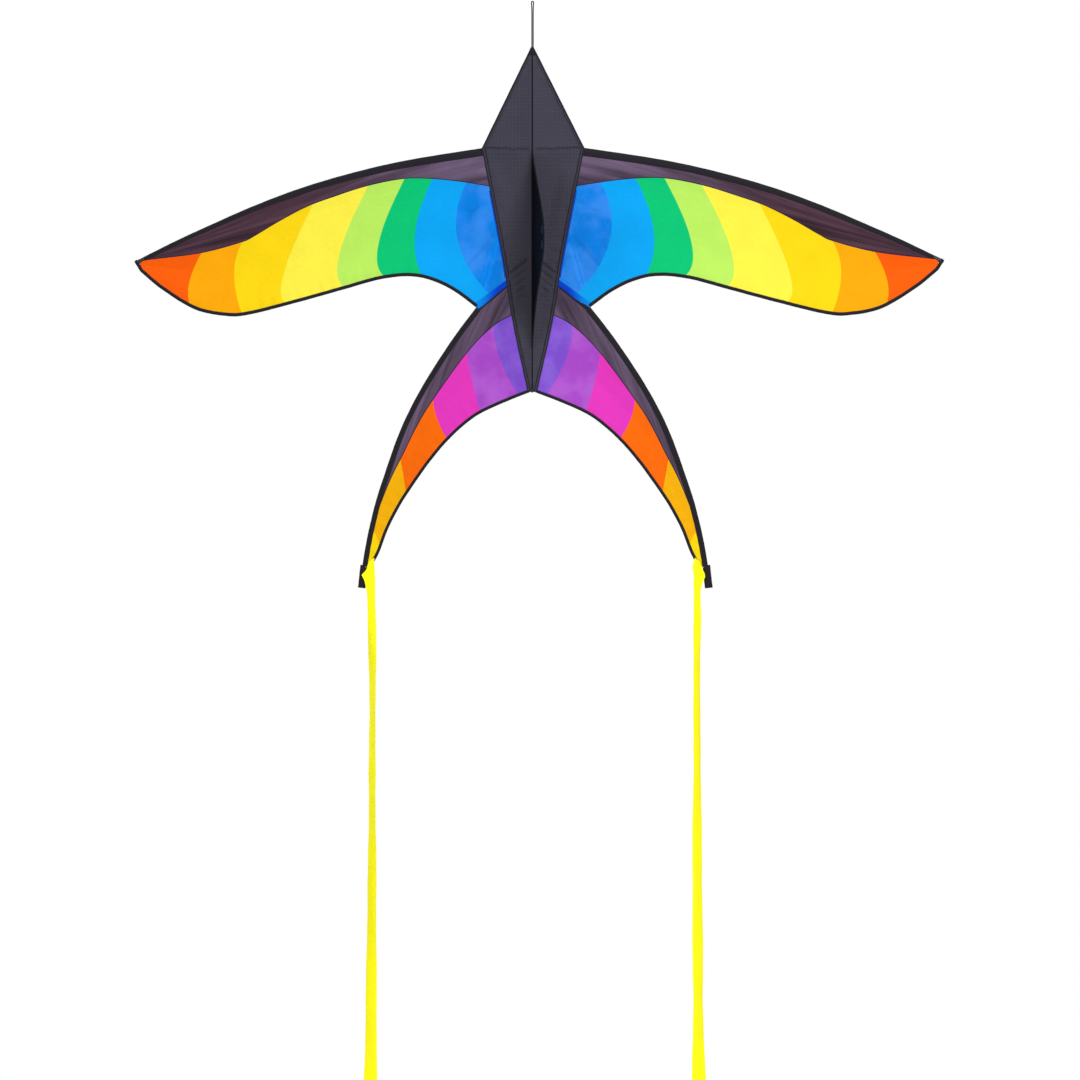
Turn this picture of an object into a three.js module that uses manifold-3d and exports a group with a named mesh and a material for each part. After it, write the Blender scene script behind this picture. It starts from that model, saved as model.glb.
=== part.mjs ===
// Delta kite with a swallow outline, hanging from its nose.
// Millimetres, +Z up, X across the span, Y to the back; the origin is the top of the hang loop.
// Each side is flat and is drawn in its own plane: s runs out from the spine, z up, and b to the
// back of that plane. The right side is turned back by the dihedral, the left side is its mirror.
import * as THREE from 'three';
import { mergeVertices } from 'three/addons/utils/BufferGeometryUtils.js';
import Module from 'manifold-3d';

const wasm = await Module();
wasm.setup();

// ---------- driving dimensions ----------
const DIHEDRAL = THREE.MathUtils.degToRad(10);    // each side leans back from flat
const KEEL_LEAN = THREE.MathUtils.degToRad(14);   // the fin lies over to the right
const GAP = 0.3;                                  // between neighbouring pieces

const NOSE_Z = -75;                               // top of the body
const SHOULDER = [83, -235];                      // widest point of the body
const BODY_BOTTOM_Z = -625;
const WING_TIP = [663, -414];
const NOTCH = [93, -490];                         // where wing and tail part
const SEAM_ROOT = [42, -458];                     // wing to tail seam at the body edge
const SEAM_END = [88, -495];

const SPINE_ROD_R = 2.5;
const WING_ROD_R = 2;
const TAIL_ROD_R = 1.5;
const PANEL_INNER_S = 6.2;                        // body panels start clear of the hubs
const HUB_R = 4.8;
const KNUCKLE_HEIGHT = 9;
const COLLAR_HEIGHT = 4;
const WING_HUB_Z = -240;
const TAIL_HUB_Z = -410;
const SOCKET = { wall: 0.7, length: 30, overlap: 2 };

const CLOTH = { front: -4.2, back: -3.4 };        // sails and body panels
const HEM = { front: -4.5, back: -3.1 };          // folded hems and bindings
const SLEEVE = { front: -4.5, back: 2.9 };        // rod pockets
const SEAM_SLEEVE = { front: -2.8, back: 2.9 };   // the tail rod's pocket behind the wing root

const WING_POCKET_WIDTH = { root: 13, tip: 7 };
const TAIL_POCKET_WIDTH = 9.6;
const WING_HEM_WIDTH = 5.6;
const TAIL_HEM_WIDTH = 5;
const BINDING_WIDTH = 5.6;
const TIP_CAP_S = 648;                            // the wing tip cap starts here

const KEEL_AXIS_Y = -6.2;
const KEEL_DEPTH = 120;
const KEEL_HEM_WIDTH = 6;
const EYELET = { s: 104, z: [-368, -392], bore: 3.5, barrel: 4.6, flange: 7.5 };

const LOOP = { cordRadius: 0.9, low: -77.5, near: 1.05, eye: 1.6 };   // half widths between strands
const NOSE_PATCH = { halfWidth: 6.5, height: 12 };
const SPINE_CAP = { wall: 0.7, depth: 14, end: 2 };
const RIBBON = { width: 20, thickness: 3, corner: 1, b: -8 };

const ROD_STEPS = 30;                             // facets along each rod and its run
const ROD_SIDES = 8;
const BEYOND = 10;                                // how far a cutter reaches past an edge
const BODY_PANEL_BOTTOM_Z = -600;                 // the bindings close the point below it

// ---------- materials ----------
function finish(color, roughness, metalness = 0) {
  return new THREE.MeshStandardMaterial({ color, roughness, metalness, side: THREE.DoubleSide });
}
const BLACK_CLOTH = 0x3d3b48;
const BLACK_TAPE = 0x232125;
const RAINBOW = 0xfff039;
const MAGENTA = 0xe030b7;
const YELLOW = 0xfaec42;
const CARBON = 0x1c1c1e;
const PLASTIC = 0x202022;
const EYELET_METAL = 0x2e2e31;

// ---------- outlines, as points on curves ----------
const vec = ([s, z]) => new THREE.Vector2(s, z);
const curve = (points, steps) => new THREE.SplineCurve(points.map(vec)).getPoints(steps);

const leadingEdge = curve([
  SHOULDER, [204, -253], [294, -272], [384, -297], [465, -326], [539, -357], [596, -382], WING_TIP,
], 22);
const trailingEdge = [
  vec(WING_TIP),
  ...curve([
    [653, -430], [617, -459], [563, -491], [514, -502], [473, -501], [389, -481],
    [310, -460], [253, -445], [206, -440], [169, -446], [131, -463], NOTCH,
  ], 26),
];
const tailOuterEdge = curve([
  NOTCH, [131, -539], [173, -601], [203, -653], [225, -701], [248, -765], [261, -805], [274, -858],
  [283, -908],
], 22);
const tailInnerEdge = curve([
  [266, -905], [253, -882], [239, -846], [220, -810], [201, -781], [168, -736], [134, -698],
  [95, -666], [54, -646], [0, BODY_BOTTOM_Z],
], 22);
const bodyEdge = curve([SHOULDER, [49.5, -405], [32, -513], [9.5, -614]], 10);
const bodyRim = [new THREE.Vector2(3, NOSE_Z), ...bodyEdge];
const seamLine = [vec(SEAM_ROOT), vec(SEAM_END)];
const tailCapOutline = [[270, -904], [286, -909], [289.5, -938], [277, -940.5]].map(vec);

// Moves each point of a line to the right of the way it runs, by the distance at its share of it.
function offset(line, distance) {
  return line.map((point, i) => {
    const before = line[Math.max(i - 1, 0)];
    const after = line[Math.min(i + 1, line.length - 1)];
    const along = after.clone().sub(before).normalize();
    const share = i / (line.length - 1);
    const move = typeof distance === 'function' ? distance(share) : distance;
    return new THREE.Vector2(point.x + along.y * move, point.y - along.x * move);
  });
}

// The strip between two offsets of a line.
function band(line, near, far) {
  return [...offset(line, near), ...offset(line, far).reverse()];
}

// A closed outline with each corner moved away from the middle.
function grown(outline, margin) {
  const middle = new THREE.Vector2();
  outline.forEach((point) => middle.addScaledVector(point, 1 / outline.length));
  return outline.map((point) => point.clone().add(point.clone().sub(middle).setLength(margin)));
}

const wingPocketWidth = (share) =>
  THREE.MathUtils.lerp(WING_POCKET_WIDTH.root, WING_POCKET_WIDTH.tip, share);

// ---------- solids ----------
// A flat plate: the outline in s and z, from the front to the back of its layer.
function plate(outline, { front, back }) {
  const geometry = new THREE.ExtrudeGeometry(new THREE.Shape(outline), {
    depth: back - front,
    bevelEnabled: false,
  });
  geometry.rotateX(Math.PI / 2);
  geometry.translate(0, back, 0);
  return geometry;
}

function polygon(radius, sides) {
  const points = [];
  for (let i = 0; i < sides; i += 1) {
    const angle = (2 * Math.PI * i) / sides;
    points.push(new THREE.Vector2(radius * Math.cos(angle), radius * Math.sin(angle)));
  }
  return points;
}

// A bar of any section along a smooth path.
function sweep(path, section, steps) {
  return new THREE.ExtrudeGeometry(new THREE.Shape(section), {
    extrudePath: path,
    steps,
    bevelEnabled: false,
  });
}

// A ring or cup turned about the spine's own axis: profile points are radius and height.
function turned(profile, sides = 16) {
  const points = profile.map(([r, z]) => new THREE.Vector2(r, z));
  const geometry = new THREE.LatheGeometry(points, sides);
  geometry.rotateX(Math.PI / 2);
  return geometry;
}

function sleeveRing(inner, outer, bottom, top) {
  return turned([[inner, bottom], [outer, bottom], [outer, top], [inner, top], [inner, bottom]]);
}

function solid(geometry) {
  const bare = geometry.clone();
  bare.deleteAttribute('normal');
  bare.deleteAttribute('uv');
  const merged = mergeVertices(bare, 1e-4);
  return new wasm.Manifold(new wasm.Mesh({
    numProp: 3,
    vertProperties: new Float32Array(merged.attributes.position.array),
    triVerts: new Uint32Array(merged.index.array),
  }));
}

function surface(manifold) {
  const mesh = manifold.getMesh();
  const geometry = new THREE.BufferGeometry();
  geometry.setAttribute('position', new THREE.BufferAttribute(mesh.vertProperties, 3));
  geometry.setIndex(new THREE.BufferAttribute(mesh.triVerts, 1));
  return geometry;
}

const cut = (body, ...tools) =>
  surface(tools.reduce((left, tool) => left.subtract(solid(tool)), solid(body)));
const join = (...parts) => surface(parts.map(solid).reduce((all, next) => all.add(next)));
const keep = (body, region) => surface(solid(body).intersect(solid(region)));

function part(name, geometry, material) {
  geometry.computeVertexNormals();
  const mesh = new THREE.Mesh(geometry, material);
  mesh.name = name;
  return mesh;
}

// ---------- cutters: outlines grown by the gap, thick enough to pass through every layer ----------
const THROUGH = { front: -30, back: 30 };
const through = (outline) => plate(outline, THROUGH);
const box = (inner, outer, low, high) =>
  through([[inner, high], [outer, high], [outer, low], [inner, low]].map(vec));
const bodyOutline = [new THREE.Vector2(0, NOSE_Z), ...bodyRim, new THREE.Vector2(0, BODY_BOTTOM_Z)];
const bodyCutter = through([
  new THREE.Vector2(-BEYOND, NOSE_Z),
  ...offset(bodyRim, -GAP),
  new THREE.Vector2(-BEYOND, BODY_BOTTOM_Z),
]);
const wingPocketCutter = through(band(leadingEdge, -BEYOND, (share) => wingPocketWidth(share) + GAP));
const wingHemCutter = through(band(trailingEdge, -BEYOND, WING_HEM_WIDTH + GAP));
const tailPocketCutter = through(band(tailOuterEdge, -BEYOND, TAIL_POCKET_WIDTH + GAP));
const tailHemCutter = through(band(tailInnerEdge, -BEYOND, TAIL_HEM_WIDTH + GAP));
const tailCapCutter = through(grown(tailCapOutline, 4 * GAP));

const wingOutline = [
  ...leadingEdge,
  ...trailingEdge.slice(1),
  ...offset(seamLine, -GAP / 2).reverse(),
  new THREE.Vector2(SEAM_ROOT[0] - BEYOND, SEAM_ROOT[1]),
  new THREE.Vector2(SHOULDER[0] - 4 * BEYOND, SHOULDER[1]),
];
const tailOutline = [
  new THREE.Vector2(SEAM_ROOT[0] - 2 * BEYOND, SEAM_ROOT[1]),
  ...offset(seamLine, GAP / 2),
  ...tailOuterEdge,
  ...tailInnerEdge,
];

// ---------- rods ----------
const wingRodLine = [
  new THREE.Vector2(15, WING_HUB_Z),
  new THREE.Vector2(50, WING_HUB_Z),
  ...offset(leadingEdge, (share) => wingPocketWidth(share) / 2).slice(0, -1),
];
const tailRodLine = [
  new THREE.Vector2(15, -422),
  new THREE.Vector2(46, -454),
  new THREE.Vector2(70, -474),
  ...offset(tailOuterEdge, TAIL_POCKET_WIDTH / 2).slice(1, -1),
  new THREE.Vector2(280.5, -918),
  new THREE.Vector2(282.5, -932),
];
const pathOf = (line) =>
  new THREE.CatmullRomCurve3(line.map((point) => new THREE.Vector3(point.x, 0, point.y)));

function rod(line, radius) {
  return sweep(pathOf(line), polygon(radius, ROD_SIDES), ROD_STEPS);
}

// A rod's run through its sleeve, with a little room at both ends.
function channel(line, radius) {
  const longer = line.map((point) => point.clone());
  const last = longer.length - 1;
  longer[0].add(longer[0].clone().sub(longer[1]).setLength(2 * GAP));
  longer[last].add(longer[last].clone().sub(longer[last - 1]).setLength(2 * GAP));
  return sweep(pathOf(longer), polygon(radius + GAP, ROD_SIDES), ROD_STEPS);
}

// ---------- hub arm: a knuckle on the spine rod, a web and a socket for the rod ----------
function hubArm(hubZ, level, rodLine, rodRadius) {
  const bottom = level > 0 ? hubZ + GAP / 2 : hubZ - GAP / 2 - KNUCKLE_HEIGHT;
  const top = bottom + KNUCKLE_HEIGHT;
  const knuckle = sleeveRing(SPINE_ROD_R + GAP, HUB_R, bottom, top);
  const [start, next] = rodLine;
  const along = next.clone().sub(start).normalize();
  const socketRadius = rodRadius + GAP + SOCKET.wall;
  const socketStart = start.clone().addScaledVector(along, -SOCKET.overlap);
  const socketEnd = socketStart.clone().addScaledVector(along, SOCKET.length);
  const socket = sweep(pathOf([socketStart, socketEnd]), polygon(socketRadius, ROD_SIDES), 1);
  const webHalf = 1.2;
  const webEnd = socketStart.clone().addScaledVector(along, socketRadius);
  const side = new THREE.Vector2(-along.y, along.x).multiplyScalar(socketRadius * 0.8);
  const web = plate([
    new THREE.Vector2(HUB_R - 1, top),
    new THREE.Vector2(HUB_R + webHalf, top),
    webEnd.clone().add(side),
    webEnd.clone().sub(side),
    new THREE.Vector2(HUB_R + webHalf, bottom),
    new THREE.Vector2(HUB_R - 1, bottom),
  ], { front: -webHalf, back: webHalf });
  return cut(join(knuckle, web, socket), channel(rodLine, rodRadius));
}

// ---------- one side of the kite ----------
function ribbonPath() {
  const route = [
    [264, -886], [267, -897], [268.5, -910], [267.5, -922], [266, -938], [265, -960], [264.5, -1000],
    [264, -1060], [264, -1130], [264.5, -1210], [264.5, -1290], [264.5, -1370], [265, -1450],
    [265.5, -1530], [266, -1610], [266.5, -1690], [268, -1770], [269, -1850], [269, -1886],
  ];
  const points = route.map(([s, z]) => new THREE.Vector3(s, RIBBON.b, z));
  return new THREE.CatmullRomCurve3(points);
}

function ribbonSection() {
  const half = RIBBON.width / 2;
  const deep = RIBBON.thickness / 2;
  const { corner } = RIBBON;
  return [
    [deep, half - corner], [deep - corner, half], [corner - deep, half], [-deep, half - corner],
    [-deep, corner - half], [corner - deep, -half], [deep - corner, -half], [deep, corner - half],
  ].map(vec);
}

function kiteSide(side, level) {
  const group = new THREE.Group();
  const cloth = finish(BLACK_CLOTH, 0.7);
  const tape = finish(BLACK_TAPE, 0.8);
  const add = (name, geometry, material) => group.add(part(`${side}_${name}`, geometry, material));

  const wingChannel = channel(wingRodLine, WING_ROD_R);
  const tailChannel = channel(tailRodLine, TAIL_ROD_R);
  const rimBand = plate(band(bodyRim, 0, BINDING_WIDTH), HEM);
  const rimCutter = through(band(bodyRim, -BEYOND, BINDING_WIDTH + GAP));
  const field = (low, high) => box(PANEL_INNER_S, SHOULDER[0] + BEYOND, low, high);
  const tipBox = (inner) =>
    box(inner, WING_TIP[0] + BEYOND, WING_TIP[1] - 2 * BEYOND, WING_TIP[1] + 3 * BEYOND);
  const tipCapRegion = tipBox(TIP_CAP_S);
  const tipCapCutter = tipBox(TIP_CAP_S - GAP);

  add('body_panel', cut(keep(plate(bodyOutline, CLOTH), field(BODY_PANEL_BOTTOM_Z, 0)), rimCutter),
    cloth);
  add('nose_binding', keep(rimBand, field(SHOULDER[1] + GAP / 2, 0)), tape);
  add('body_binding', keep(rimBand, field(BODY_BOTTOM_Z, SHOULDER[1] - GAP / 2)), tape);

  add('wing_sail', cut(plate(wingOutline, CLOTH), bodyCutter, wingPocketCutter, wingHemCutter,
    tailPocketCutter),
    finish(RAINBOW, 0.6));
  const wingPocket = plate(band(leadingEdge, 0, wingPocketWidth), SLEEVE);
  add('wing_pocket', cut(wingPocket, bodyCutter, tipCapCutter, wingChannel), tape);
  add('wing_tip_cap', cut(keep(wingPocket, tipCapRegion), wingChannel), finish(PLASTIC, 0.5));
  const wingHem = plate(band(trailingEdge, 0, WING_HEM_WIDTH), HEM);
  add('wing_hem', cut(keep(wingHem, through(wingOutline)), wingPocketCutter, tailPocketCutter), tape);
  add('wing_rod', rod(wingRodLine, WING_ROD_R), finish(CARBON, 0.4));
  add('wing_arm', hubArm(WING_HUB_Z, level, wingRodLine, WING_ROD_R), finish(PLASTIC, 0.5));

  add('tail_sail', cut(plate(tailOutline, CLOTH), bodyCutter, tailPocketCutter, tailHemCutter,
    tailCapCutter), finish(MAGENTA, 0.6));
  add('tail_pocket', cut(plate(band(tailOuterEdge, 0, TAIL_POCKET_WIDTH), SLEEVE), tailCapCutter,
    tailChannel), tape);
  add('seam_pocket', cut(plate(band(seamLine, 0, -TAIL_POCKET_WIDTH), SEAM_SLEEVE), tailPocketCutter,
    tailChannel), tape);
  add('tail_hem', cut(plate(band(tailInnerEdge, 0, TAIL_HEM_WIDTH), HEM), bodyCutter,
    tailPocketCutter, tailCapCutter), tape);
  add('tail_end_cap', cut(plate(tailCapOutline, SLEEVE), tailChannel), tape);
  add('tail_rod', rod(tailRodLine, TAIL_ROD_R), finish(CARBON, 0.4));
  add('tail_arm', hubArm(TAIL_HUB_Z, level, tailRodLine, TAIL_ROD_R), finish(PLASTIC, 0.5));

  add('ribbon', sweep(ribbonPath(), ribbonSection(), 26), finish(YELLOW, 0.6));
  group.rotation.z = DIHEDRAL;
  return group;
}

// ---------- spine, nose and hang loop ----------
function hangLoop() {
  const { cordRadius, low, near, eye } = LOOP;
  const rise = [
    [near, low], [near, -50], [1.15, -25], [1.4, -10], [eye, -5],
  ];
  const points = rise.map(([x, z]) => new THREE.Vector3(x, 0, z));
  const centre = -(cordRadius + eye);
  for (let i = 0; i <= 6; i += 1) {
    const angle = (Math.PI * i) / 6;
    points.push(new THREE.Vector3(eye * Math.cos(angle), 0, centre + eye * Math.sin(angle)));
  }
  points.push(...rise.slice().reverse().map(([x, z]) => new THREE.Vector3(-x, 0, z)));
  return sweep(new THREE.CatmullRomCurve3(points), polygon(cordRadius, 8), 32);
}

function hubCollars(name, hubZ, material) {
  const reach = KNUCKLE_HEIGHT + 1.5 * GAP;
  return [['top', hubZ + reach], ['bottom', hubZ - reach - COLLAR_HEIGHT]].map(([end, bottom]) =>
    part(`${name}_collar_${end}`,
      sleeveRing(SPINE_ROD_R + GAP, HUB_R, bottom, bottom + COLLAR_HEIGHT), material));
}

function spine() {
  const group = new THREE.Group();
  const tape = finish(BLACK_TAPE, 0.8);
  const plastic = finish(PLASTIC, 0.5);
  const rodTop = NOSE_Z - 5;
  const rodBottom = BODY_BOTTOM_Z + 8;
  const shaft = new THREE.CylinderGeometry(SPINE_ROD_R, SPINE_ROD_R, rodTop - rodBottom, 16);
  shaft.rotateX(Math.PI / 2);
  shaft.translate(0, 0, (rodTop + rodBottom) / 2);
  group.add(part('spine_rod', shaft, finish(CARBON, 0.4)));

  const capInner = SPINE_ROD_R + GAP;
  const capOuter = capInner + SPINE_CAP.wall;
  const capDepth = SPINE_CAP.depth;
  group.add(part('spine_cap_top', turned([
    [0, rodTop + GAP], [capInner, rodTop + GAP], [capInner, rodTop - capDepth],
    [capOuter, rodTop - capDepth], [capOuter, rodTop + SPINE_CAP.end], [0, rodTop + SPINE_CAP.end],
  ]), plastic));
  group.add(part('spine_cap_bottom', turned([
    [0, rodBottom - SPINE_CAP.end], [capOuter, rodBottom - SPINE_CAP.end],
    [capOuter, rodBottom + capDepth],
    [capInner, rodBottom + capDepth], [capInner, rodBottom - GAP], [0, rodBottom - GAP],
  ]), plastic));

  const hubReach = KNUCKLE_HEIGHT + 2 * GAP + COLLAR_HEIGHT;
  const pockets = {
    top: [WING_HUB_Z + hubReach, rodTop - capDepth - GAP],
    middle: [TAIL_HUB_Z + hubReach, WING_HUB_Z - hubReach],
    bottom: [rodBottom + capDepth + GAP, TAIL_HUB_Z - hubReach],
  };
  for (const [name, [low, high]] of Object.entries(pockets)) {
    group.add(part(`spine_pocket_${name}`,
      sleeveRing(SPINE_ROD_R + GAP, SPINE_ROD_R + GAP + 0.8, low, high), tape));
  }
  group.add(...hubCollars('wing_hub', WING_HUB_Z, plastic));
  group.add(...hubCollars('tail_hub', TAIL_HUB_Z, plastic));

  const patchBottom = NOSE_Z + 1 - NOSE_PATCH.height;
  const patch = [
    [0, NOSE_Z + 1], [NOSE_PATCH.halfWidth, patchBottom], [-NOSE_PATCH.halfWidth, patchBottom],
  ].map(vec);
  group.add(part('nose_patch', plate(patch, { front: -5.4, back: -4.8 }), tape));
  group.add(part('hang_loop', hangLoop(), tape));
  return group;
}

// ---------- keel: s is the reach forward from the hinge line ----------
function keel() {
  const group = new THREE.Group();
  const tape = finish(BLACK_TAPE, 0.8);
  const edge = curve([
    [GAP, -240], [60, -298], [108, -345], [KEEL_DEPTH, -372], [116, -404], [84, -440], [40, -486],
    [GAP, -556],
  ], 24);
  const fold = { front: -0.7, back: 0.7 };
  const holes = EYELET.z.map((z) => {
    const hole = new THREE.CylinderGeometry(EYELET.barrel + GAP, EYELET.barrel + GAP, 8, 16);
    hole.translate(EYELET.s, 0, z);
    return hole;
  });
  const hemCutter = through(band(edge, -BEYOND, KEEL_HEM_WIDTH + GAP));
  group.add(part('keel_fin', cut(plate(edge, { front: -0.4, back: 0.4 }), hemCutter, ...holes),
    finish(BLACK_CLOTH, 0.7)));
  const hingeSide = box(GAP, KEEL_DEPTH + BEYOND, BODY_BOTTOM_Z, 0);
  group.add(part('keel_hem', keep(plate(band(edge, 0, KEEL_HEM_WIDTH), fold), hingeSide), tape));
  const patch = [[92, -345], [104, -352], [112, -372], [110, -398], [104, -408], [84, -380]].map(vec);
  const patchLayer = { front: 0.7, back: 1.3 };
  group.add(part('keel_patch', cut(plate(patch, patchLayer), hemCutter, ...holes), tape));
  EYELET.z.forEach((z, i) => {
    const ring = new THREE.LatheGeometry([
      [EYELET.bore, -1.3], [EYELET.flange, -1.3], [EYELET.flange, -0.7], [EYELET.barrel, -0.7],
      [EYELET.barrel, 1.6], [EYELET.flange, 1.6], [EYELET.flange, 2.2], [EYELET.bore, 2.2],
      [EYELET.bore, -1.3],
    ].map(vec), 16);
    ring.translate(EYELET.s, 0, z);
    group.add(part(`tow_eyelet_${i + 1}`, ring, finish(EYELET_METAL, 0.4, 1)));
  });
  group.position.y = KEEL_AXIS_Y;
  group.rotation.z = KEEL_LEAN - Math.PI / 2;
  return group;
}

// ---------- assembly ----------
const kite = new THREE.Group();
const right = kiteSide('right', 1);
const left = new THREE.Group();
left.add(kiteSide('left', -1));
left.scale.x = -1;
kite.add(spine(), right, left, keel());
export default kite;
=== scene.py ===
"""The looks of a swallow-shaped delta kite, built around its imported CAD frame.

Each side of the kite is flat in its own plane: s runs out from the spine, z up, and b to the back of
that plane, all in millimetres. The outlines are those of the CAD part. Meshes are made in metres.
"""
import math

import bmesh
import bpy
import numpy as np
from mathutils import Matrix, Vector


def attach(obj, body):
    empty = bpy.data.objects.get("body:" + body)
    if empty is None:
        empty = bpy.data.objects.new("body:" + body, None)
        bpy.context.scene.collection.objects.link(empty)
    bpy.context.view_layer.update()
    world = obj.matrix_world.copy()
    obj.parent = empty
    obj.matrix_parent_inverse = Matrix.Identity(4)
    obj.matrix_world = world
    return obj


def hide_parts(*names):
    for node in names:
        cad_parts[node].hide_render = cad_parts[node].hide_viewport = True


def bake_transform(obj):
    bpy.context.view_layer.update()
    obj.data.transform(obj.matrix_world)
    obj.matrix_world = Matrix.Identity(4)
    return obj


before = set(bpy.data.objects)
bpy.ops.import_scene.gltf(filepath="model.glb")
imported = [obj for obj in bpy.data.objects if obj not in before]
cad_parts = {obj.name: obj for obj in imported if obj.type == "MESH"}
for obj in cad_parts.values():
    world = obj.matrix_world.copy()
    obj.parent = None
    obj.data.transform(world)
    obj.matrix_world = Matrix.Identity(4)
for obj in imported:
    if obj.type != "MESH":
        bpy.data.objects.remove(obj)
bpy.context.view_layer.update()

# ---------------------------------------------------------------- dimensions, in millimetres
MM = 0.001
DIHEDRAL = math.radians(10)
KEEL_LEAN = math.radians(14)
KEEL_AXIS_Y = -6.2
SIDES = {"right": 1, "left": -1}

CLOTH_B = -3.8            # the cloth's layer, in front of the rods
CLOTH_THICKNESS = 0.25
NOSE_Z = -75
SHOULDER = (83, -235)
BODY_BOTTOM_Z = -625
WING_TIP = (663, -414)
NOTCH = (93, -490)
SEAM_ROOT = (42, -458)
SEAM_END = (88, -495)
WING_HUB_Z = -240
TAIL_HUB_Z = -410

SPINE_ROD_R = 2.5
WING_ROD_R = 2.0
TAIL_ROD_R = 1.5
WING_POCKET_ROOT = 13
WING_POCKET_TIP = 7
TAIL_POCKET_WIDTH = 9.6
WING_HEM_WIDTH = 5.6
TAIL_HEM_WIDTH = 5
BINDING_WIDTH = 5.6
KEEL_HEM_WIDTH = 6
RIBBON_WIDTH = 25
RIBBON_B = -8
LOOP_CORD_R = 0.9
LOOP_EYE = 1.6
CAMERA_TURN = math.radians(4.8)      # the camera stands a little to the right of the middle


# ---------------------------------------------------------------- lines in the flat pattern
def spline(points, steps):
    """Points along a uniform Catmull-Rom curve, the kind that the CAD part draws its edges with."""
    points = np.array(points, float)
    last = len(points) - 1
    line = []
    for i in range(steps + 1):
        place = last * i / steps
        k = min(int(place), last)
        w = place - k
        before, here, after, beyond = (points[min(max(k + j, 0), last)] for j in (-1, 0, 1, 2))
        v0, v1 = (after - before) / 2, (beyond - here) / 2
        cubic = (2 * here - 2 * after + v0 + v1) * w**3
        square = (-3 * here + 3 * after - 2 * v0 - v1) * w**2
        line.append(cubic + square + v0 * w + here)
    return np.array(line)


def normals(line):
    """The direction to the right of the way a line runs, at each of its points."""
    along = np.gradient(line, axis=0)
    along /= np.linalg.norm(along, axis=1)[:, None]
    return np.stack([along[:, 1], -along[:, 0]], 1)


def offset(line, distance):
    return line + normals(line) * np.broadcast_to(distance, len(line))[:, None]


def arc(line):
    """How far along a line each of its points is."""
    return np.concatenate([[0], np.cumsum(np.linalg.norm(np.diff(line, axis=0), axis=1))])


def at(line, shares):
    """The points at these shares of a line's length."""
    run = arc(line)
    wanted = np.asarray(shares, float) * run[-1]
    return np.stack([np.interp(wanted, run, line[:, k]) for k in range(line.shape[1])], -1)


def share_near(line, point):
    """The share of a line's length at which it passes nearest a point."""
    fine = at(line, np.linspace(0, 1, 2001))
    return np.argmin(np.linalg.norm(fine - np.array(point), axis=1)) / 2000


def stretch(line, start, end, count):
    return at(line, np.linspace(start, end, count))


def even(line, spacing):
    """A line again, with its points about this far apart."""
    return stretch(line, 0, 1, max(int(round(arc(line)[-1] / spacing)), 2) + 1)


def joined(*lines):
    return np.vstack(lines)


leading_edge = spline(
    [SHOULDER, (204, -253), (294, -272), (384, -297), (465, -326), (539, -357), (596, -382), WING_TIP], 140
)
trailing_edge = joined(
    [WING_TIP],
    spline(
        [(653, -430), (617, -459), (563, -491), (514, -502), (473, -501), (389, -481), (310, -460),
         (253, -445), (206, -440), (169, -446), (131, -463), NOTCH], 160
    ),
)
tail_outer_edge = spline(
    [NOTCH, (131, -539), (173, -601), (203, -653), (225, -701), (248, -765), (261, -805), (274, -858),
     (283, -908)], 120
)
tail_inner_edge = spline(
    [(266, -905), (253, -882), (239, -846), (220, -810), (201, -781), (168, -736), (134, -698),
     (95, -666), (54, -646), (0, BODY_BOTTOM_Z)], 120
)
body_edge = joined(spline([SHOULDER, (49.5, -405), (32, -513), (9.5, -614)], 60), [(6.9, -626)])
nose_edge = np.array([(1.5, NOSE_Z + 1), SHOULDER], float)
seam_line = np.array([SEAM_ROOT, SEAM_END], float)
wing_pocket_width = WING_POCKET_ROOT + (WING_POCKET_TIP - WING_POCKET_ROOT) * np.linspace(0, 1, 141)

wing_rod_line = joined(
    [(15, WING_HUB_Z), (50, WING_HUB_Z)], offset(leading_edge, wing_pocket_width / 2)[:-3]
)
tail_rod_line = joined(
    [(15, -422), (46, -454), (70, -474)],
    offset(tail_outer_edge, TAIL_POCKET_WIDTH / 2)[4:-3],
    [(280.5, -918), (282.5, -932)],
)


# ---------------------------------------------------------------- from the pattern to the frame
def side_points(points, side):
    """Points (s, z, b) of a side's plane, in the row frame, in metres."""
    s, z, b = np.asarray(points, float).T
    sign = SIDES[side]
    x = sign * (s * math.cos(DIHEDRAL) - b * math.sin(DIHEDRAL))
    y = s * math.sin(DIHEDRAL) + b * math.cos(DIHEDRAL)
    return np.stack([x, y, z], 1) * MM


def spine_points(points, side="right"):
    """Points (x, z, y) of the spine, in the row frame, in metres."""
    x, z, y = np.asarray(points, float).T
    return np.stack([SIDES[side] * x, y, z], 1) * MM


def keel_points(points, side="right"):
    """Points (reach, z, b) of the fin's plane. Behind its hinge line the fin runs straight back."""
    reach, z, b = np.asarray(points, float).T
    out = np.maximum(reach, 0)
    x = out * math.sin(KEEL_LEAN) + b * math.cos(KEEL_LEAN)
    y = -out * math.cos(KEEL_LEAN) + b * math.sin(KEEL_LEAN) + KEEL_AXIS_Y - np.minimum(reach, 0)
    return np.stack([x, y, z], 1) * MM


def with_depth(line, b):
    return np.column_stack([line, np.broadcast_to(b, len(line))])


# ---------------------------------------------------------------- materials
def linear(colour):
    """An 8-bit screen colour as the renderer's own numbers."""
    shares = np.array(colour, float) / 255
    low, high = shares / 12.92, ((shares + 0.055) / 1.055) ** 2.4
    return np.where(shares <= 0.04045, low, high)


LIGHT_GAIN = 1.48         # how much the studio light brightens a colour
GLOSS = 0.006             # and what the cloth's own gloss adds to it


def dyed(colour):
    """The colour of a cloth that looks like an 8-bit screen colour under the studio light."""
    return tuple(float(x) for x in np.maximum(linear(colour) - GLOSS, 0.0005) / LIGHT_GAIN)


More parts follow.
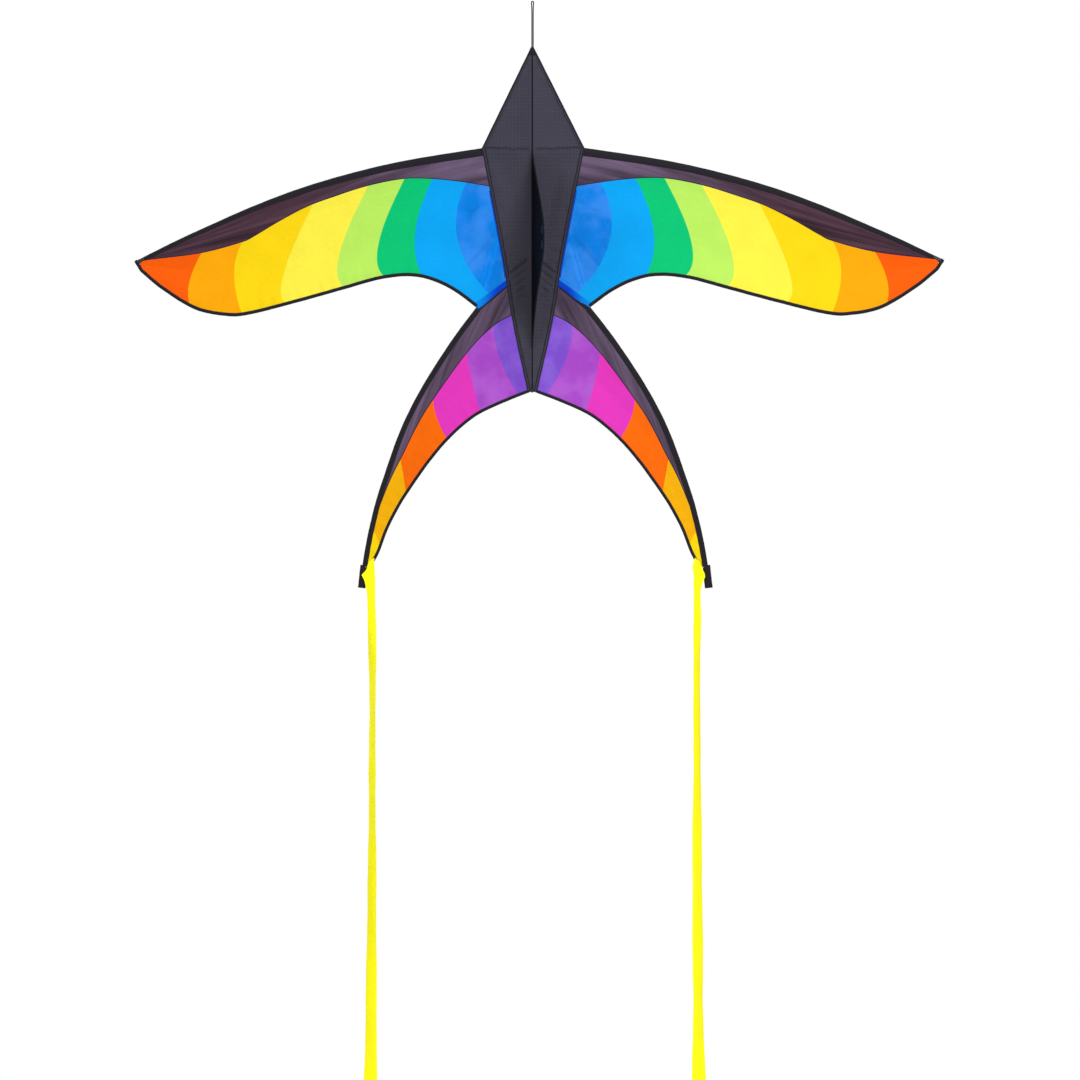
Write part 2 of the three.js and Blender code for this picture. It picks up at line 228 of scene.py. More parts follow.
class Nodes:
    """A short way to write a material's nodes."""

    def __init__(self, name):
        self.material = bpy.data.materials.new(name)
        self.material.use_nodes = True
        self.tree = self.material.node_tree

    def connect(self, node, inputs):
        """Gives a node its inputs, by number or by name, each a socket or a value."""
        for key, source in inputs.items():
            if isinstance(source, bpy.types.NodeSocket):
                self.tree.links.new(source, node.inputs[key])
            elif source is not None:
                node.inputs[key].default_value = source

    def add(self, kind, *sources, out=0, named=None, **settings):
        node = self.tree.nodes.new(kind)
        for name, value in settings.items():
            setattr(node, name, value)
        self.connect(node, dict(enumerate(sources)) | (named or {}))
        return node.outputs[out]

    def math(self, operation, *values):
        return self.add("ShaderNodeMath", *values, operation=operation)

    def plus(self, start, source, strength, middle=None):
        """start and source times strength, counted from a middle value if there is one."""
        if middle is not None:
            source = self.math("SUBTRACT", source, middle)
        return self.math("MULTIPLY_ADD", source, strength, start)

    def noise(self, vector, scale, detail=2.0, roughness=0.5):
        named = {"Scale": scale, "Detail": detail, "Roughness": roughness}
        return self.add("ShaderNodeTexNoise", vector, named=named, out="Fac")

    def cloth_map(self):
        return self.add("ShaderNodeUVMap", uv_map="cloth")

    def body_place(self):
        return self.add("ShaderNodeTexCoord", out="Object")

    def parts(self, vector):
        return self.add("ShaderNodeSeparateXYZ", vector).node.outputs

    def grid_lines(self, vector, cell, width):
        """1 on the threads of a square grid and 0 between them. Sizes are in metres."""
        lines = []
        for along in self.parts(vector)[:2]:
            rise = self.math("SUBTRACT", self.math("PINGPONG", along, cell / 2), cell / 2 - width)
            lines.append(self.math("MAXIMUM", self.math("DIVIDE", rise, width), 0.0))
        return self.math("MAXIMUM", *lines)

    def weave(self, vector, pitch):
        """The over and under of a plain weave, from -1 to 1."""
        waves = [self.math("MULTIPLY", along, math.pi / pitch) for along in self.parts(vector)[:2]]
        return self.math("MULTIPLY", *[self.math("SINE", wave) for wave in waves])

    def tint(self, colour, amount):
        """A colour made lighter or darker by amount, which is 1 where it stays as it is."""
        return self.add("ShaderNodeVectorMath", colour, named={"Scale": amount}, operation="SCALE")

    def ramp(self, value, low, high):
        """0 where value is below low, rising smoothly to 1 at high."""
        return self.add("ShaderNodeMapRange", value, low, high, interpolation_type="SMOOTHSTEP")

    def between(self, first, second, share):
        """A mix of two colours, which are the node's seventh and eighth inputs."""
        colours = (*first, 1), (*second, 1)
        return self.add("ShaderNodeMix", share, *[None] * 5, *colours, out=2, data_type="RGBA")

    def rays(self, vector, centre, fineness):
        """Streaks that all run towards one point of the cloth."""
        across, up = [
            self.math("SUBTRACT", v, c * MM) for v, c in zip(self.parts(vector), centre)
        ]
        angle = self.math("ARCTAN2", up, self.math("MULTIPLY", across, -1.0))
        squares = [self.math("MULTIPLY", v, v) for v in (across, up)]
        gap = self.math("SQRT", self.math("ADD", *squares))
        side = self.parts(self.body_place())[0]
        scales = (angle, fineness), (gap, 4.0), (side, 1.5)
        place = self.add("ShaderNodeCombineXYZ", *[self.math("MULTIPLY", v, s) for v, s in scales])
        return self.noise(place, 1.0, 3.5, 0.6)

    def crease(self, vector, start, end, width):
        """1 along a line of the cloth, falling to 0 this far from it and at its ends. Millimetres."""
        across, up, _ = self.parts(vector)
        start, end = np.array(start, float) * MM, np.array(end, float) * MM
        length = float(np.linalg.norm(end - start))
        ax, ay = (float(v) for v in (end - start) / length)
        reach = self.plus(self.plus(-float(start @ (ax, ay)), up, ay), across, ax)
        aside = self.plus(self.plus(-float(start @ (ay, -ax)), up, -ax), across, ay)
        aside = self.plus(aside, self.noise(vector, 70.0), 0.005)
        off_line = self.math("ABSOLUTE", self.math("SUBTRACT", aside, 0.0025))
        ends = self.ramp(reach, 0.0, 0.008), self.ramp(reach, length, length - 0.008)
        return self.math("MULTIPLY", self.ramp(off_line, width * MM, 0.0), self.math("MULTIPLY", *ends))

    def finish(self, colour, height, distance, roughness, **fixed):
        bump = self.add("ShaderNodeBump", named={"Distance": distance, "Height": height})
        inputs = {"Base Color": colour, "Normal": bump, "Roughness": roughness}
        inputs |= {name.replace("_", " "): value for name, value in fixed.items()}
        self.connect(self.tree.nodes["Principled BSDF"], inputs)
        return self.material


def cloth(name, colour, ripstop=0.0, streaks=None, second=None, fade=(0.1, 0.42), crumple=0.0,
          creases=(), roughness=0.55, specular=0.05, sheen=0.0, glow=1.0):
    """Thin woven polyester. ripstop is how strongly the thick threads show, streaks the point that
    its pull lines run to, second a colour that it fades to along the wing, crumple how strongly
    soft creases show, and creases the sharp ones, each a start, an end, a width and a strength.
    Besides their bumps, streaks and crumple are painted highlight and painted shade in the colour,
    and a crease is painted shade in it, or a painted highlight where its strength is below 0."""
    nodes = Nodes(name)
    place = nodes.cloth_map()
    threads = nodes.grid_lines(place, cell=0.006, width=0.0006)
    fine = nodes.noise(place, 120.0, 3.0, 0.6)
    light = nodes.plus(0.93, nodes.noise(place, 26.0, 3.0), 0.14)
    light = nodes.plus(light, nodes.noise(place, 900.0, 1.0), 0.08, 0.5)
    light = nodes.plus(light, threads, ripstop)
    height = nodes.plus(nodes.math("MULTIPLY", fine, 0.9), nodes.weave(place, 0.0005), 0.12)
    height = nodes.plus(height, threads, 0.35 * (ripstop > 0))
    # The streaks towards one point are bumps, and also painted highlight and painted shade of the pull folds
    # in the colour.
    if streaks is not None:
        for fineness, strength in ((20.0, 2.8), (60.0, 1.3)):
            rays = nodes.rays(place, streaks, fineness)
            light = nodes.plus(light, rays, strength, 0.5)
            height = nodes.plus(height, rays, 2.0)
        light = nodes.math("MAXIMUM", light, 0.45)
    shown = tuple(c * glow for c in dyed(colour))
    if second is not None:
        shown = nodes.between(dyed(colour), dyed(second), nodes.ramp(nodes.parts(place)[0], *fade))
    # Soft crumples: the raised patches get a paler colour and a lighter tint as painted highlight, and the
    # low ones a darker tint as painted shade; they are bumps as well.
    if crumple:
        soft = nodes.noise(nodes.body_place(), 22.0, 3.0)
        pale = tuple(c + 0.02 for c in dyed(colour))
        shown = nodes.between(dyed(colour), pale, nodes.ramp(soft, 0.4, 0.62))
        light = nodes.plus(light, soft, crumple, 0.5)
        height = nodes.plus(height, soft, 8.0 * crumple)
    # Each crease darkens the colour as painted shade, or lightens it as a painted highlight where its
    # strength is below 0, and is a bump too.
    for start, end, width, strength in creases:
        crease = nodes.crease(place, start, end, width)
        light = nodes.plus(light, crease, -0.5 * strength)
        height = nodes.plus(height, crease, -2.0 * strength)
    return nodes.finish(
        nodes.tint(shown, light), height, 0.0007, nodes.plus(roughness - 0.08, fine, 0.16),
        Specular_IOR_Level=specular, Sheen_Weight=sheen, Sheen_Roughness=0.4,
    )


def tape_cloth(name, colour, lined=None, middle=0.0034, reach=0.0012):
    """Folded black tape: a coarser weave with a ribbed face. lined is another colour, for a bound
    edge between its darker seams, this far round from the edge and out from there."""
    nodes = Nodes(name)
    place = nodes.cloth_map()
    ribs = nodes.weave(place, 0.0009)
    worn = nodes.noise(place, 160.0, 3.0)
    light = nodes.plus(nodes.plus(0.75, worn, 0.5), ribs, 0.18)
    shown = dyed(colour)
    if lined is not None:
        off_middle = nodes.math("ABSOLUTE", nodes.math("SUBTRACT", nodes.parts(place)[1], middle))
        edge = nodes.ramp(off_middle, reach - 0.0003, reach + 0.0003)
        shown = nodes.between(dyed(lined), dyed(colour), edge)
    return nodes.finish(
        nodes.tint(shown, light), nodes.plus(worn, ribs, 0.25), 0.0005, nodes.plus(0.55, worn, 0.2),
        Specular_IOR_Level=0.12, Sheen_Weight=0.03, Sheen_Roughness=0.4,
    )


def hard(name, colour, roughness, metallic=0.0, grain=300.0, specular=0.4):
    """A moulded, pultruded or pressed piece, with a fine uneven surface."""
    nodes = Nodes(name)
    place = nodes.body_place()
    fine = nodes.noise(place, grain, 3.0)
    light = nodes.plus(0.85, nodes.noise(place, 40.0), 0.3)
    return nodes.finish(
        nodes.tint(dyed(colour), light), fine, 0.0002, nodes.plus(roughness - 0.1, fine, 0.2),
        Metallic=metallic, Specular_IOR_Level=specular,
    )


def rod_material():
    """Pultruded rod: fine lines run along it."""
    nodes = Nodes("pultruded_rod")
    drawn = nodes.add("ShaderNodeMapping", nodes.cloth_map(), vector_type="TEXTURE",
                      named={"Scale": (1 / 12.0, 1 / 3500.0, 1)})
    lines = nodes.noise(drawn, 1.0)
    return nodes.finish(
        nodes.tint(dyed((44, 44, 47)), nodes.plus(0.7, lines, 0.6)), lines, 0.0001,
        nodes.plus(0.3, lines, 0.2), Specular_IOR_Level=0.4,
    )


def cord_material():
    """Braided black cord: the strands cross as diagonal waves."""
    nodes = Nodes("braided_cord")
    along, around = [
        nodes.math("MULTIPLY", part, 2 * math.pi / pitch)
        for part, pitch in zip(nodes.parts(nodes.cloth_map()), (0.0016, 0.0019))
    ]
    strands = [nodes.math("SINE", nodes.math(way, along, around)) for way in ("ADD", "SUBTRACT")]
    braid = nodes.math("MAXIMUM", *strands)
    return nodes.finish(
        nodes.tint(dyed((32, 31, 34)), nodes.plus(0.8, braid, 0.2)), braid, 0.0003, 0.7,
        Specular_IOR_Level=0.05,
    )


WING_COLOURS = {
    "plum": (100, 84, 108), "blue": (12, 132, 235), "sky": (2, 167, 246), "green": (1, 199, 119),
    "lime": (189, 239, 99), "yellow": (255, 241, 74), "gold": (254, 218, 26),
    # The darkest blue is painted shade: the seam pocket behind the wing, seen through the cloth.
    "orange": (255, 172, 4), "vermilion": (253, 98, 13), "royal": (0, 70, 212), "seam": (52, 42, 60),
}
TAIL_COLOURS = {
    "plum": (92, 77, 98), "violet": (129, 82, 208), "purple": (171, 77, 202),
    "magenta": (230, 60, 191), "orange": (252, 109, 9), "amber": (248, 180, 17),
    "yellow": (253, 218, 20), "seam": (50, 40, 56),
}
# The plum's streaks and the blue's crumple and creases are bumps, and also painted highlight and painted
# shade in the colour.
WING_LOOKS = {
    "plum": {"streaks": WING_TIP, "second": (76, 54, 66)},
    "blue": {"crumple": 0.3, "creases": [
        ((60, -372), (112, -428), 6, 0.25), ((56, -384), (80, -464), 5, -0.35),
        ((68, -398), (90, -470), 4, -0.3), ((86, -330), (112, -338), 4, 0.2),
    ]},
    # Painted shade of the seam pocket, darkest at the root and fading to the blue outwards.
    "royal": {"second": (0, 138, 236), "fade": (0.055, 0.09)},
}
wing_cloths = [
    cloth(f"wing_{name}", colour, **WING_LOOKS.get(name, {})) for name, colour in WING_COLOURS.items()
]
# The tail plum's streaks and the violet and purple crumple are painted highlight and painted shade too.
tail_cloths = [
    cloth(f"tail_{name}", colour, streaks=(283, -918) if name == "plum" else None,
          crumple=0.25 if name in ("violet", "purple") else 0.0)
    for name, colour in TAIL_COLOURS.items()
]
# The body's creases, painted as shade in its colour and as bumps: one across it behind the leading edges, the
# others from the tail's hub.
BODY_CREASES = [
    ((1, -237.5), (81, -236), 3.4, 0.8), ((4, -411), (40, -439), 4.6, 0.9),
    ((8, -427), (32, -446), 3.0, 0.5), ((8, -441), (32, -458), 3.4, 0.5),
    ((8, -455), (28, -468), 3.0, 0.45), ((8, -468), (24, -477), 2.6, 0.35),
]
body_cloth = cloth("body_ripstop", (64, 62, 74), ripstop=0.4, creases=BODY_CREASES, specular=0.1, sheen=0.02)
# The keel's cloth and tape are the black body cloth and tape made far darker: painted shade, for the fin that
# stands in shadow. The spine's dark seam line uses that tape as well.
shaded_keel_cloth = cloth("shaded_keel_ripstop", (18, 17, 23), ripstop=0.4)
ribbon_cloth = cloth("ribbon_cloth", (251, 244, 34), roughness=0.6, glow=1.38)
black_tape = tape_cloth("black_tape", (36, 34, 39))
bound_edge = tape_cloth("bound_edge", (38, 36, 43), lined=(60, 58, 69))
nose_edge_cloth = tape_cloth("nose_edge_cloth", (36, 34, 41), lined=(58, 56, 67), middle=0.0046, reach=0.0014)
shaded_keel_tape = tape_cloth("shaded_keel_tape", (21, 20, 26))
root_seam_cloth = cloth("root_seam_cloth", (4, 72, 200))
thread = hard("thread", (58, 56, 62), 0.7, grain=1500.0, specular=0.1)
carbon = rod_material()
nylon = hard("moulded_nylon", (40, 40, 43), 0.45, specular=0.3)
eyelet_metal = hard("eyelet_metal", (62, 60, 60), 0.35, metallic=1.0, grain=900.0)
loop_cord = cord_material()


# ---------------------------------------------------------------- meshes
def make(name, points, faces, materials, chosen=None, cloth_map=None, flip=False, smooth=True):
    """A mesh object from points in metres. chosen is each face's material, and cloth_map each
    point's place in the cloth, in metres."""
    if flip:
        faces = [tuple(reversed(face)) for face in faces]
    mesh = bpy.data.meshes.new(name)
    mesh.from_pydata([tuple(p) for p in points], [], [tuple(int(i) for i in f) for f in faces])
    for material in materials:
        mesh.materials.append(material)
    if chosen is not None:
        mesh.polygons.foreach_set("material_index", np.array(chosen, np.int32))
    if cloth_map is not None:
        layer = mesh.uv_layers.new(name="cloth")
        corners = np.zeros(len(mesh.loops), np.int32)
        mesh.loops.foreach_get("vertex_index", corners)
        layer.data.foreach_set("uv", np.asarray(cloth_map, float)[corners].ravel())
    mesh.polygons.foreach_set("use_smooth", np.full(len(mesh.polygons), smooth))
    mesh.update()
    made = bpy.data.objects.new(name, mesh)
    bpy.context.scene.collection.objects.link(made)
    return made


def grid_faces(rows, columns, wrap=False):
    last = columns if wrap else columns - 1
    return [
        (i * columns + j, i * columns + (j + 1) % columns,
         (i + 1) * columns + (j + 1) % columns, (i + 1) * columns + j)
        for i in range(rows - 1) for j in range(last)
    ]


def skin_faces(count, around, ring=False):
    """The faces of a skin over rings of points, closed on itself or with an end face at each end."""
    last = (count - 1) * around
    faces = grid_faces(count, around, wrap=True)
    if ring:
        return faces + [(last + j, last + (j + 1) % around, (j + 1) % around, j) for j in range(around)]
    return faces + [tuple(range(around)), tuple(range(last, last + around))[::-1]]


def closed(name, points, faces, material, sharp=None, cloth_map=None):
    """A closed mesh with its faces turned outwards. Edges above the angle sharp stay sharp."""
    made = make(name, points, faces, [material], cloth_map=cloth_map)
    work = bmesh.new()
    work.from_mesh(made.data)
    bmesh.ops.recalc_face_normals(work, faces=work.faces)
    work.to_mesh(made.data)
    work.free()
    if sharp is not None:
        made.data.set_sharp_from_angle(angle=math.radians(sharp))
    return made


def loft(name, rings, place, side, material, crease=50):
    """A closed skin over rings of points, each ring an array of points in the pattern."""
    rings = np.asarray(rings, float)
    count, around = rings.shape[:2]
    grid = np.meshgrid(arc(rings.mean(axis=1)), arc(rings[count // 2]), indexing="ij")
    return closed(name, place(rings.reshape(-1, 3), side), skin_faces(count, around), material, crease,
                  np.stack(grid, -1).reshape(-1, 2) * MM)


def hoop(centre, normal, radius, depth=0.0, sides=16):
    """A round section: a ring of points about a line of the pattern, which normal crosses."""
    angles = np.linspace(0, 2 * np.pi, sides, endpoint=False)
    flat = centre + radius * np.cos(angles)[:, None] * normal
    return np.column_stack([flat, depth + radius * np.sin(angles)])


def thicken(piece, thickness=CLOTH_THICKNESS):
    modifier = piece.modifiers.new("thickness", "SOLIDIFY")
    modifier.thickness = thickness * MM
    modifier.offset = 0
    return piece


def finish_piece(piece, body, slot, *nodes):
    """Rides a finished piece on its body and hides the CAD nodes that it stands for."""
    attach(piece, body)
    if nodes:
        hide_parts(*nodes)
    return piece


def flutter(run, seed):
    """A slight unevenness along a sewn edge, from -1 to 1."""
    waves = [(37.0, 1.0), (13.0, 0.6), (7.1, 0.35)]
    return sum(h * np.sin(2 * np.pi * run / w + seed * (k + 1)) for k, (w, h) in enumerate(waves)) / 1.95


def tape(name, line, width, profile, place, side, seed, spacing=4.0, material=black_tape):
    """A folded strip that runs along a line, with its width to the right of it. profile gives the
    section for a width, as points (across, b)."""
    widths = np.broadcast_to(width, len(line)).astype(float)
    both = even(np.column_stack([line, widths]), spacing)
    centre, widths = both[:, :2], both[:, 2]
    rings = []
    for point, normal, w, lift in zip(centre, normals(centre), widths, flutter(arc(centre), seed)):
        across, depth = np.array(profile(w)).T
        flat = point + (across + 0.12 * lift)[:, None] * normal
        rings.append(np.column_stack([flat, depth + 0.1 * lift]))
    return loft(name, rings, place, side, material)


def hem_profile(width, middle=CLOTH_B):
    """Folded cloth with a round outer edge and a thin step at the inner one."""
    front, back = middle - 0.62, middle + 0.55
    return [
        (0.0, middle), (0.15, middle - 0.35), (0.6, front), (width * 0.5, front - 0.08),
        (width - 0.5, front), (width, middle - 0.38), (width, middle + 0.3),
        (width - 0.5, back), (width * 0.5, back + 0.05), (0.6, back), (0.15, middle + 0.35),
    ]


def pocket_profile(rod_radius):
    """A sleeve round a rod in the middle of the strip, with a sewn flange on the inner side."""
    def profile(width):
        middle = width / 2
        reach = min(rod_radius + 1.4, width / 2 - 0.3)
        flank = middle + reach
        back = rod_radius + 0.7
        return [
            (0.0, -0.9), (0.25, -2.4), (0.12 * width, -3.6), (0.3 * width, -4.35), (middle, -4.5),
            (0.75 * width, -4.4), (width - 0.3, -4.25), (width, -3.9), (width, -3.5),
            (max(flank, width - 2), -3.3), (flank, -0.4), (middle + 0.6 * reach, back * 0.85),
            (middle, back), (middle - 0.62 * reach, back * 0.8), (0.12 * width, 0.9), (0.02 * width, 0.1),
        ]
    return profile


def rod(name, line, radius, side, place=side_points, material=carbon, spacing=6.0, sides=16):
    """A round bar along a line in a side's plane."""
    centre = even(np.asarray(line, float), spacing)
    sizes = [0.75] + [1.0] * (len(centre) - 2) + [0.75]
    rings = [
        hoop(point, normal, radius * size, sides=sides)
        for point, normal, size in zip(centre, normals(centre), sizes)
    ]
    return loft(name, rings, place, side, material)


STITCH_LENGTH = 2.7
STITCH_PITCH = 3.5
THREAD_R = 0.2
# One stitch: shares of its length, and how thick and how deep in the cloth it is there.
STITCH = ((0.0, 0.4, 0.25), (0.15, 1.0, 0.0), (0.85, 1.0, 0.0), (1.0, 0.4, 0.25))


def stitching(side, runs):
    """All the stitches of one side, as one mesh of short threads. Each run is a line, how far to
    the right of it the stitches are, and their depth."""
    points, faces = [], []
    for line, across, b in runs:
        path = even(offset(np.asarray(line, float), across), 1.0)
        total = arc(path)[-1]
        starts = np.arange(STITCH_PITCH / 2, total - STITCH_LENGTH, STITCH_PITCH)
        for start, end in at(path, np.stack([starts, starts + STITCH_LENGTH], 1) / total):
            along = (end - start) / np.linalg.norm(end - start)
            normal = np.array([along[1], -along[0]])
            rings = [
                hoop(start + share * (end - start), normal, THREAD_R * size, b + sink, 6)
                for share, size, sink in STITCH
            ]
            first = 24 * len(points)
            points.append(side_points(np.vstack(rings), side))
            faces += [tuple(first + i for i in face) for face in skin_faces(4, 6)]
    made = closed(f"{side}_stitching", np.vstack(points), faces, thread)
    return finish_piece(made, f"{side}_side", "tape")


# ---------------------------------------------------------------- cloth cut in coloured panels
def patch(left, right, top, bottom):
    """A grid between four edges. left and right run downwards, top and bottom run outwards."""
    v = np.linspace(0, 1, len(left))[:, None, None]
    u = np.linspace(0, 1, len(top))[None, :, None]
    sides = (1 - u) * left[:, None] + u * right[:, None]
    ends = (1 - v) * top[None] + v * bottom[None]
    corners = (1 - v) * ((1 - u) * top[0] + u * top[-1]) + v * ((1 - u) * bottom[0] + u * bottom[-1])
    return sides + ends - corners


def bow(top, middle, bottom, count):
    """A seam from top to bottom that passes through middle."""
    top, middle, bottom = (np.array(p, float) for p in (top, middle, bottom))
    t = np.linspace(0, 1, count)[:, None]
    pull = 2 * middle - (top + bottom) / 2
    return (1 - t) ** 2 * top + 2 * t * (1 - t) * pull + t**2 * bottom


class Pattern:
    """A sail's flat pattern: grids welded along their shared edges, each with its colour."""

    def __init__(self):
        self.points, self.faces, self.colours, self.index = [], [], [], {}

    def add(self, grid, colour):
        rows, columns = grid.shape[:2]
        ids = [self.vertex(p) for p in grid.reshape(-1, 2)]
        for face in grid_faces(rows, columns):
            corners = [ids[i] for i in face]
            if len(set(corners)) > 2:
                self.faces.append(tuple(dict.fromkeys(corners)))
                self.colours.append(colour)

    def vertex(self, point):
        key = (round(point[0] * 200), round(point[1] * 200))
        if key not in self.index:
            self.index[key] = len(self.points)
            self.points.append(point)
        return self.index[key]

    def area(self):
        """The flat area, in square metres."""
        points = np.array(self.points)
        total = 0.0
        for face in self.faces:
            x, y = points[list(face)].T
            total += abs(np.dot(x, np.roll(y, -1)) - np.dot(y, np.roll(x, -1))) / 2
        return total * MM * MM


def nearest(points, line):
    """How far each point is from a line, and how far along the line it is."""
    fine = even(np.asarray(line, float), 4.0)
    gaps = np.linalg.norm(points[:, None] - fine[None], axis=2)
    return gaps.min(axis=1), arc(fine)[gaps.argmin(axis=1)]


def folds(points, ridges):
    """Soft ridges in the cloth, each with a start, an end, a width and a height at its middle."""
    total = 0.0
    for start, end, width, height in ridges:
        start, end = np.array(start, float), np.array(end, float)
        length = np.linalg.norm(end - start)
        along = (end - start) / length
        reach = (points - start) @ along / length
        across = (points - start) @ np.array([along[1], -along[0]])
        fade = np.sin(np.pi * np.clip(reach, 0, 1)) ** 1.2
        total = total + height * fade * np.exp(-((across / width) ** 2))
    return total


def settle(piece):
    """Applies a piece's modifiers, so that its mesh is final."""
    view = bpy.context.evaluated_depsgraph_get()
    view.update()
    final = bpy.data.meshes.new_from_object(piece.evaluated_get(view), preserve_all_data_layers=True,
                                            depsgraph=view)
    piece.modifiers.clear()
    piece.data = final
    return piece


def combine(piece, other, operation):
    """Joins another closed mesh to a piece, or cuts it away, and uses the other one up."""
    modifier = piece.modifiers.new(operation.lower(), "BOOLEAN")
    modifier.object = other
    modifier.operation = operation
    modifier.solver = "EXACT"
    settle(piece)
    bpy.data.objects.remove(other)
    return piece


# ---------------------------------------------------------------- camera, floor and light
CAMERA_REACH = 24.0
ROOM_LIGHT = 0.6
target = np.array([0.012, 0.0, -0.8628])


def aim(thing, place, towards):
    thing.location = place
    line = Vector(towards) - Vector(place)
    thing.rotation_euler = line.to_track_quat("-Z", "Y").to_euler()


camera = bpy.data.objects.new("camera", bpy.data.cameras.new("camera"))
bpy.context.scene.collection.objects.link(camera)
bpy.context.scene.camera = camera
camera.data.lens = 500
camera.data.clip_end = 100
camera_place = target + CAMERA_REACH * np.array([math.sin(CAMERA_TURN), -math.cos(CAMERA_TURN), 0])
aim(camera, camera_place, target)

# The camera sees the room as pure white, and everything else is lit by it more weakly.
world = bpy.data.worlds.new("studio")
bpy.context.scene.world = world
world.use_nodes = True
tree = world.node_tree
seen_white = tree.nodes["Background"]
room = tree.nodes.new("ShaderNodeBackground")
for background, strength in ((seen_white, 1.0), (room, ROOM_LIGHT)):
    background.inputs["Color"].default_value = (1, 1, 1, 1)
    background.inputs["Strength"].default_value = strength
chooser = tree.nodes.new("ShaderNodeMixShader")
camera_ray = tree.nodes.new("ShaderNodeLightPath").outputs["Is Camera Ray"]
for i, source in enumerate((camera_ray, room.outputs[0], seen_white.outputs[0])):
    tree.links.new(source, chooser.inputs[i])
tree.links.new(chooser.outputs[0], tree.nodes["World Output"].inputs["Surface"])
bpy.context.scene.view_settings.view_transform = "Standard"


def soft_light(name, place, size, power):
    light = bpy.data.objects.new(name, bpy.data.lights.new(name, "AREA"))
    light.data.size = size
    light.data.energy = power
    bpy.context.scene.collection.objects.link(light)
    aim(light, place, target)


soft_light("key_light", (2.4, -4.2, 2.4), 1.8, 330)
soft_light("fill_light", (-3.2, -3.6, 0.2), 2.4, 90)
soft_light("back_light", (-2.4, 3.8, 1.2), 2.4, 260)

FLOOR_Z = -2.0
FLOOR_RADIUS = 1.5
floor_points = hoop(np.zeros(1), np.ones(1), FLOOR_RADIUS, sides=96)
floor_points = np.column_stack([floor_points, np.full(96, FLOOR_Z)])
floor = make("floor", floor_points, [tuple(range(96))], [hard("pale_floor", (214, 214, 214), 0.8)])


# ---------------------------------------------------------------- ribbons and hang loop
RIBBON_ROUTE = [
    (264, -886), (267, -897), (268.5, -910), (267.5, -922), (266, -938), (265, -960), (264.5, -1000),
    (264, -1060), (264, -1130), (264.5, -1210), (264.5, -1290), (264.5, -1370), (265, -1450),
    (265.5, -1530), (266, -1610), (266.5, -1690), (268, -1770), (269, -1850), (269, -1886),
]
# Each ribbon from the front, as it turns about its own line: height, width, and how far its middle
# stands out from the route.
SEEN = {
    "left": [(-886, 8.5, 0.5), (-893, 10.4, -0.2), (-900, 12.0, -1.4), (-906, 15.0, -1.2), (-911, 18.6, 0.6),
             (-915, 21.8, 2.3), (-920, 20.0, 1.6), (-926, 17.8, 1.0), (-938, 15.4, 0.9), (-948, 13.5, 0.5),
             (-967, 12.7, 0.6), (-1000, 13.0, 0.3), (-1070, 12.0, 0), (-1140, 10.3, 0), (-1190, 9.6, 0),
             (-1240, 11.2, 0), (-1330, 12.0, 0), (-1430, 14.2, 0), (-1530, 16.3, 0), (-1620, 17.8, 0),
             (-1720, 20.8, 0), (-1886, 23.5, 0)],
    "right": [(-886, 7.5, 0.0), (-893, 11.0, -2.2), (-901, 15.6, -3.4), (-907, 17.4, -3.0),
              (-913, 18.2, -1.4), (-919, 18.6, -0.3), (-927, 15.6, -0.7), (-935, 13.2, -1.1),
              (-946, 10.6, -1.5), (-960, 10.7, -0.8), (-985, 12.0, 0.1), (-1000, 12.0, 0),
              (-1070, 11.4, 0), (-1140, 10.3, 0), (-1190, 11.2, 0), (-1290, 13.7, 0), (-1380, 15.3, 0),
              (-1480, 16.6, 0), (-1600, 15.8, 0), (-1680, 18.5, 0), (-1730, 23.0, 0), (-1886, 24.0, 0)],
}
GATHER_END_Z = -945
UNTURNED_Z = (-1060, -930)     # from the first to the second the ribbon turns level, clear of the tail
RIBBON_THICKNESS = 0.3


def share_between(value, low, high):
    return np.clip((value - low) / (high - low), 0, 1)


def ribbon(side):
    route = even(spline(RIBBON_ROUTE, 400), 2.5)
    heights, widths, shifts = np.array(SEEN[side]).T
    seen = np.interp(-route[:, 1], -heights, widths)
    shift = np.interp(-route[:, 1], -heights, shifts)
    lean = DIHEDRAL - SIDES[side] * CAMERA_TURN
    phase = 0.0 if side == "left" else 1.9
    across = np.linspace(-1, 1, 17)
    rings = []
    for (s, z), aside, width, place in zip(route, shift, seen, arc(route)):
        gather = share_between(z, GATHER_END_Z, RIBBON_ROUTE[0][1]) ** 0.6
        level = 0.5 + 0.5 * math.cos(math.pi * share_between(z, *UNTURNED_Z))
        turn = (math.acos(min(width / RIBBON_WIDTH, 1.0)) - lean) * level
        half = across * width / 2 / math.cos(turn + lean)
        out = (across**2 - 0.4) * (1 - gather) + 0.4 * np.cos(3 * np.pi * across + 0.6) * gather
        valley = np.interp(-z, [890, 918, 950], [-0.7, 0.75, 0.9])
        out += 1.4 * np.exp(-(((across - valley) / 0.22) ** 2)) * math.exp(-(((z + 912) / 17) ** 2))
        out += 0.5 * across * np.sin(2 * np.pi * place / 183 + phase)
        out += 0.2 * across**3 * np.sin(2 * np.pi * place / 61 + 2 * phase)
        drop = (5 + 3 * (1 + across)) * share_between(z, -930, -886)
        faces = []
        for skin in (-0.5, 0.5):
            deep = out + skin * RIBBON_THICKNESS
            faces.append(np.column_stack([
                s + aside + half * math.cos(turn) - deep * math.sin(turn), z - drop,
                RIBBON_B + half * math.sin(turn) + deep * math.cos(turn),
            ]))
        rings.append(np.vstack([faces[0], faces[1][::-1]]))
    made = loft(f"{side}_ribbon_streamer", rings, side_points, side, ribbon_cloth, crease=60)
    finish_piece(made, f"{side}_ribbon", "ribbon", f"{side}_ribbon")


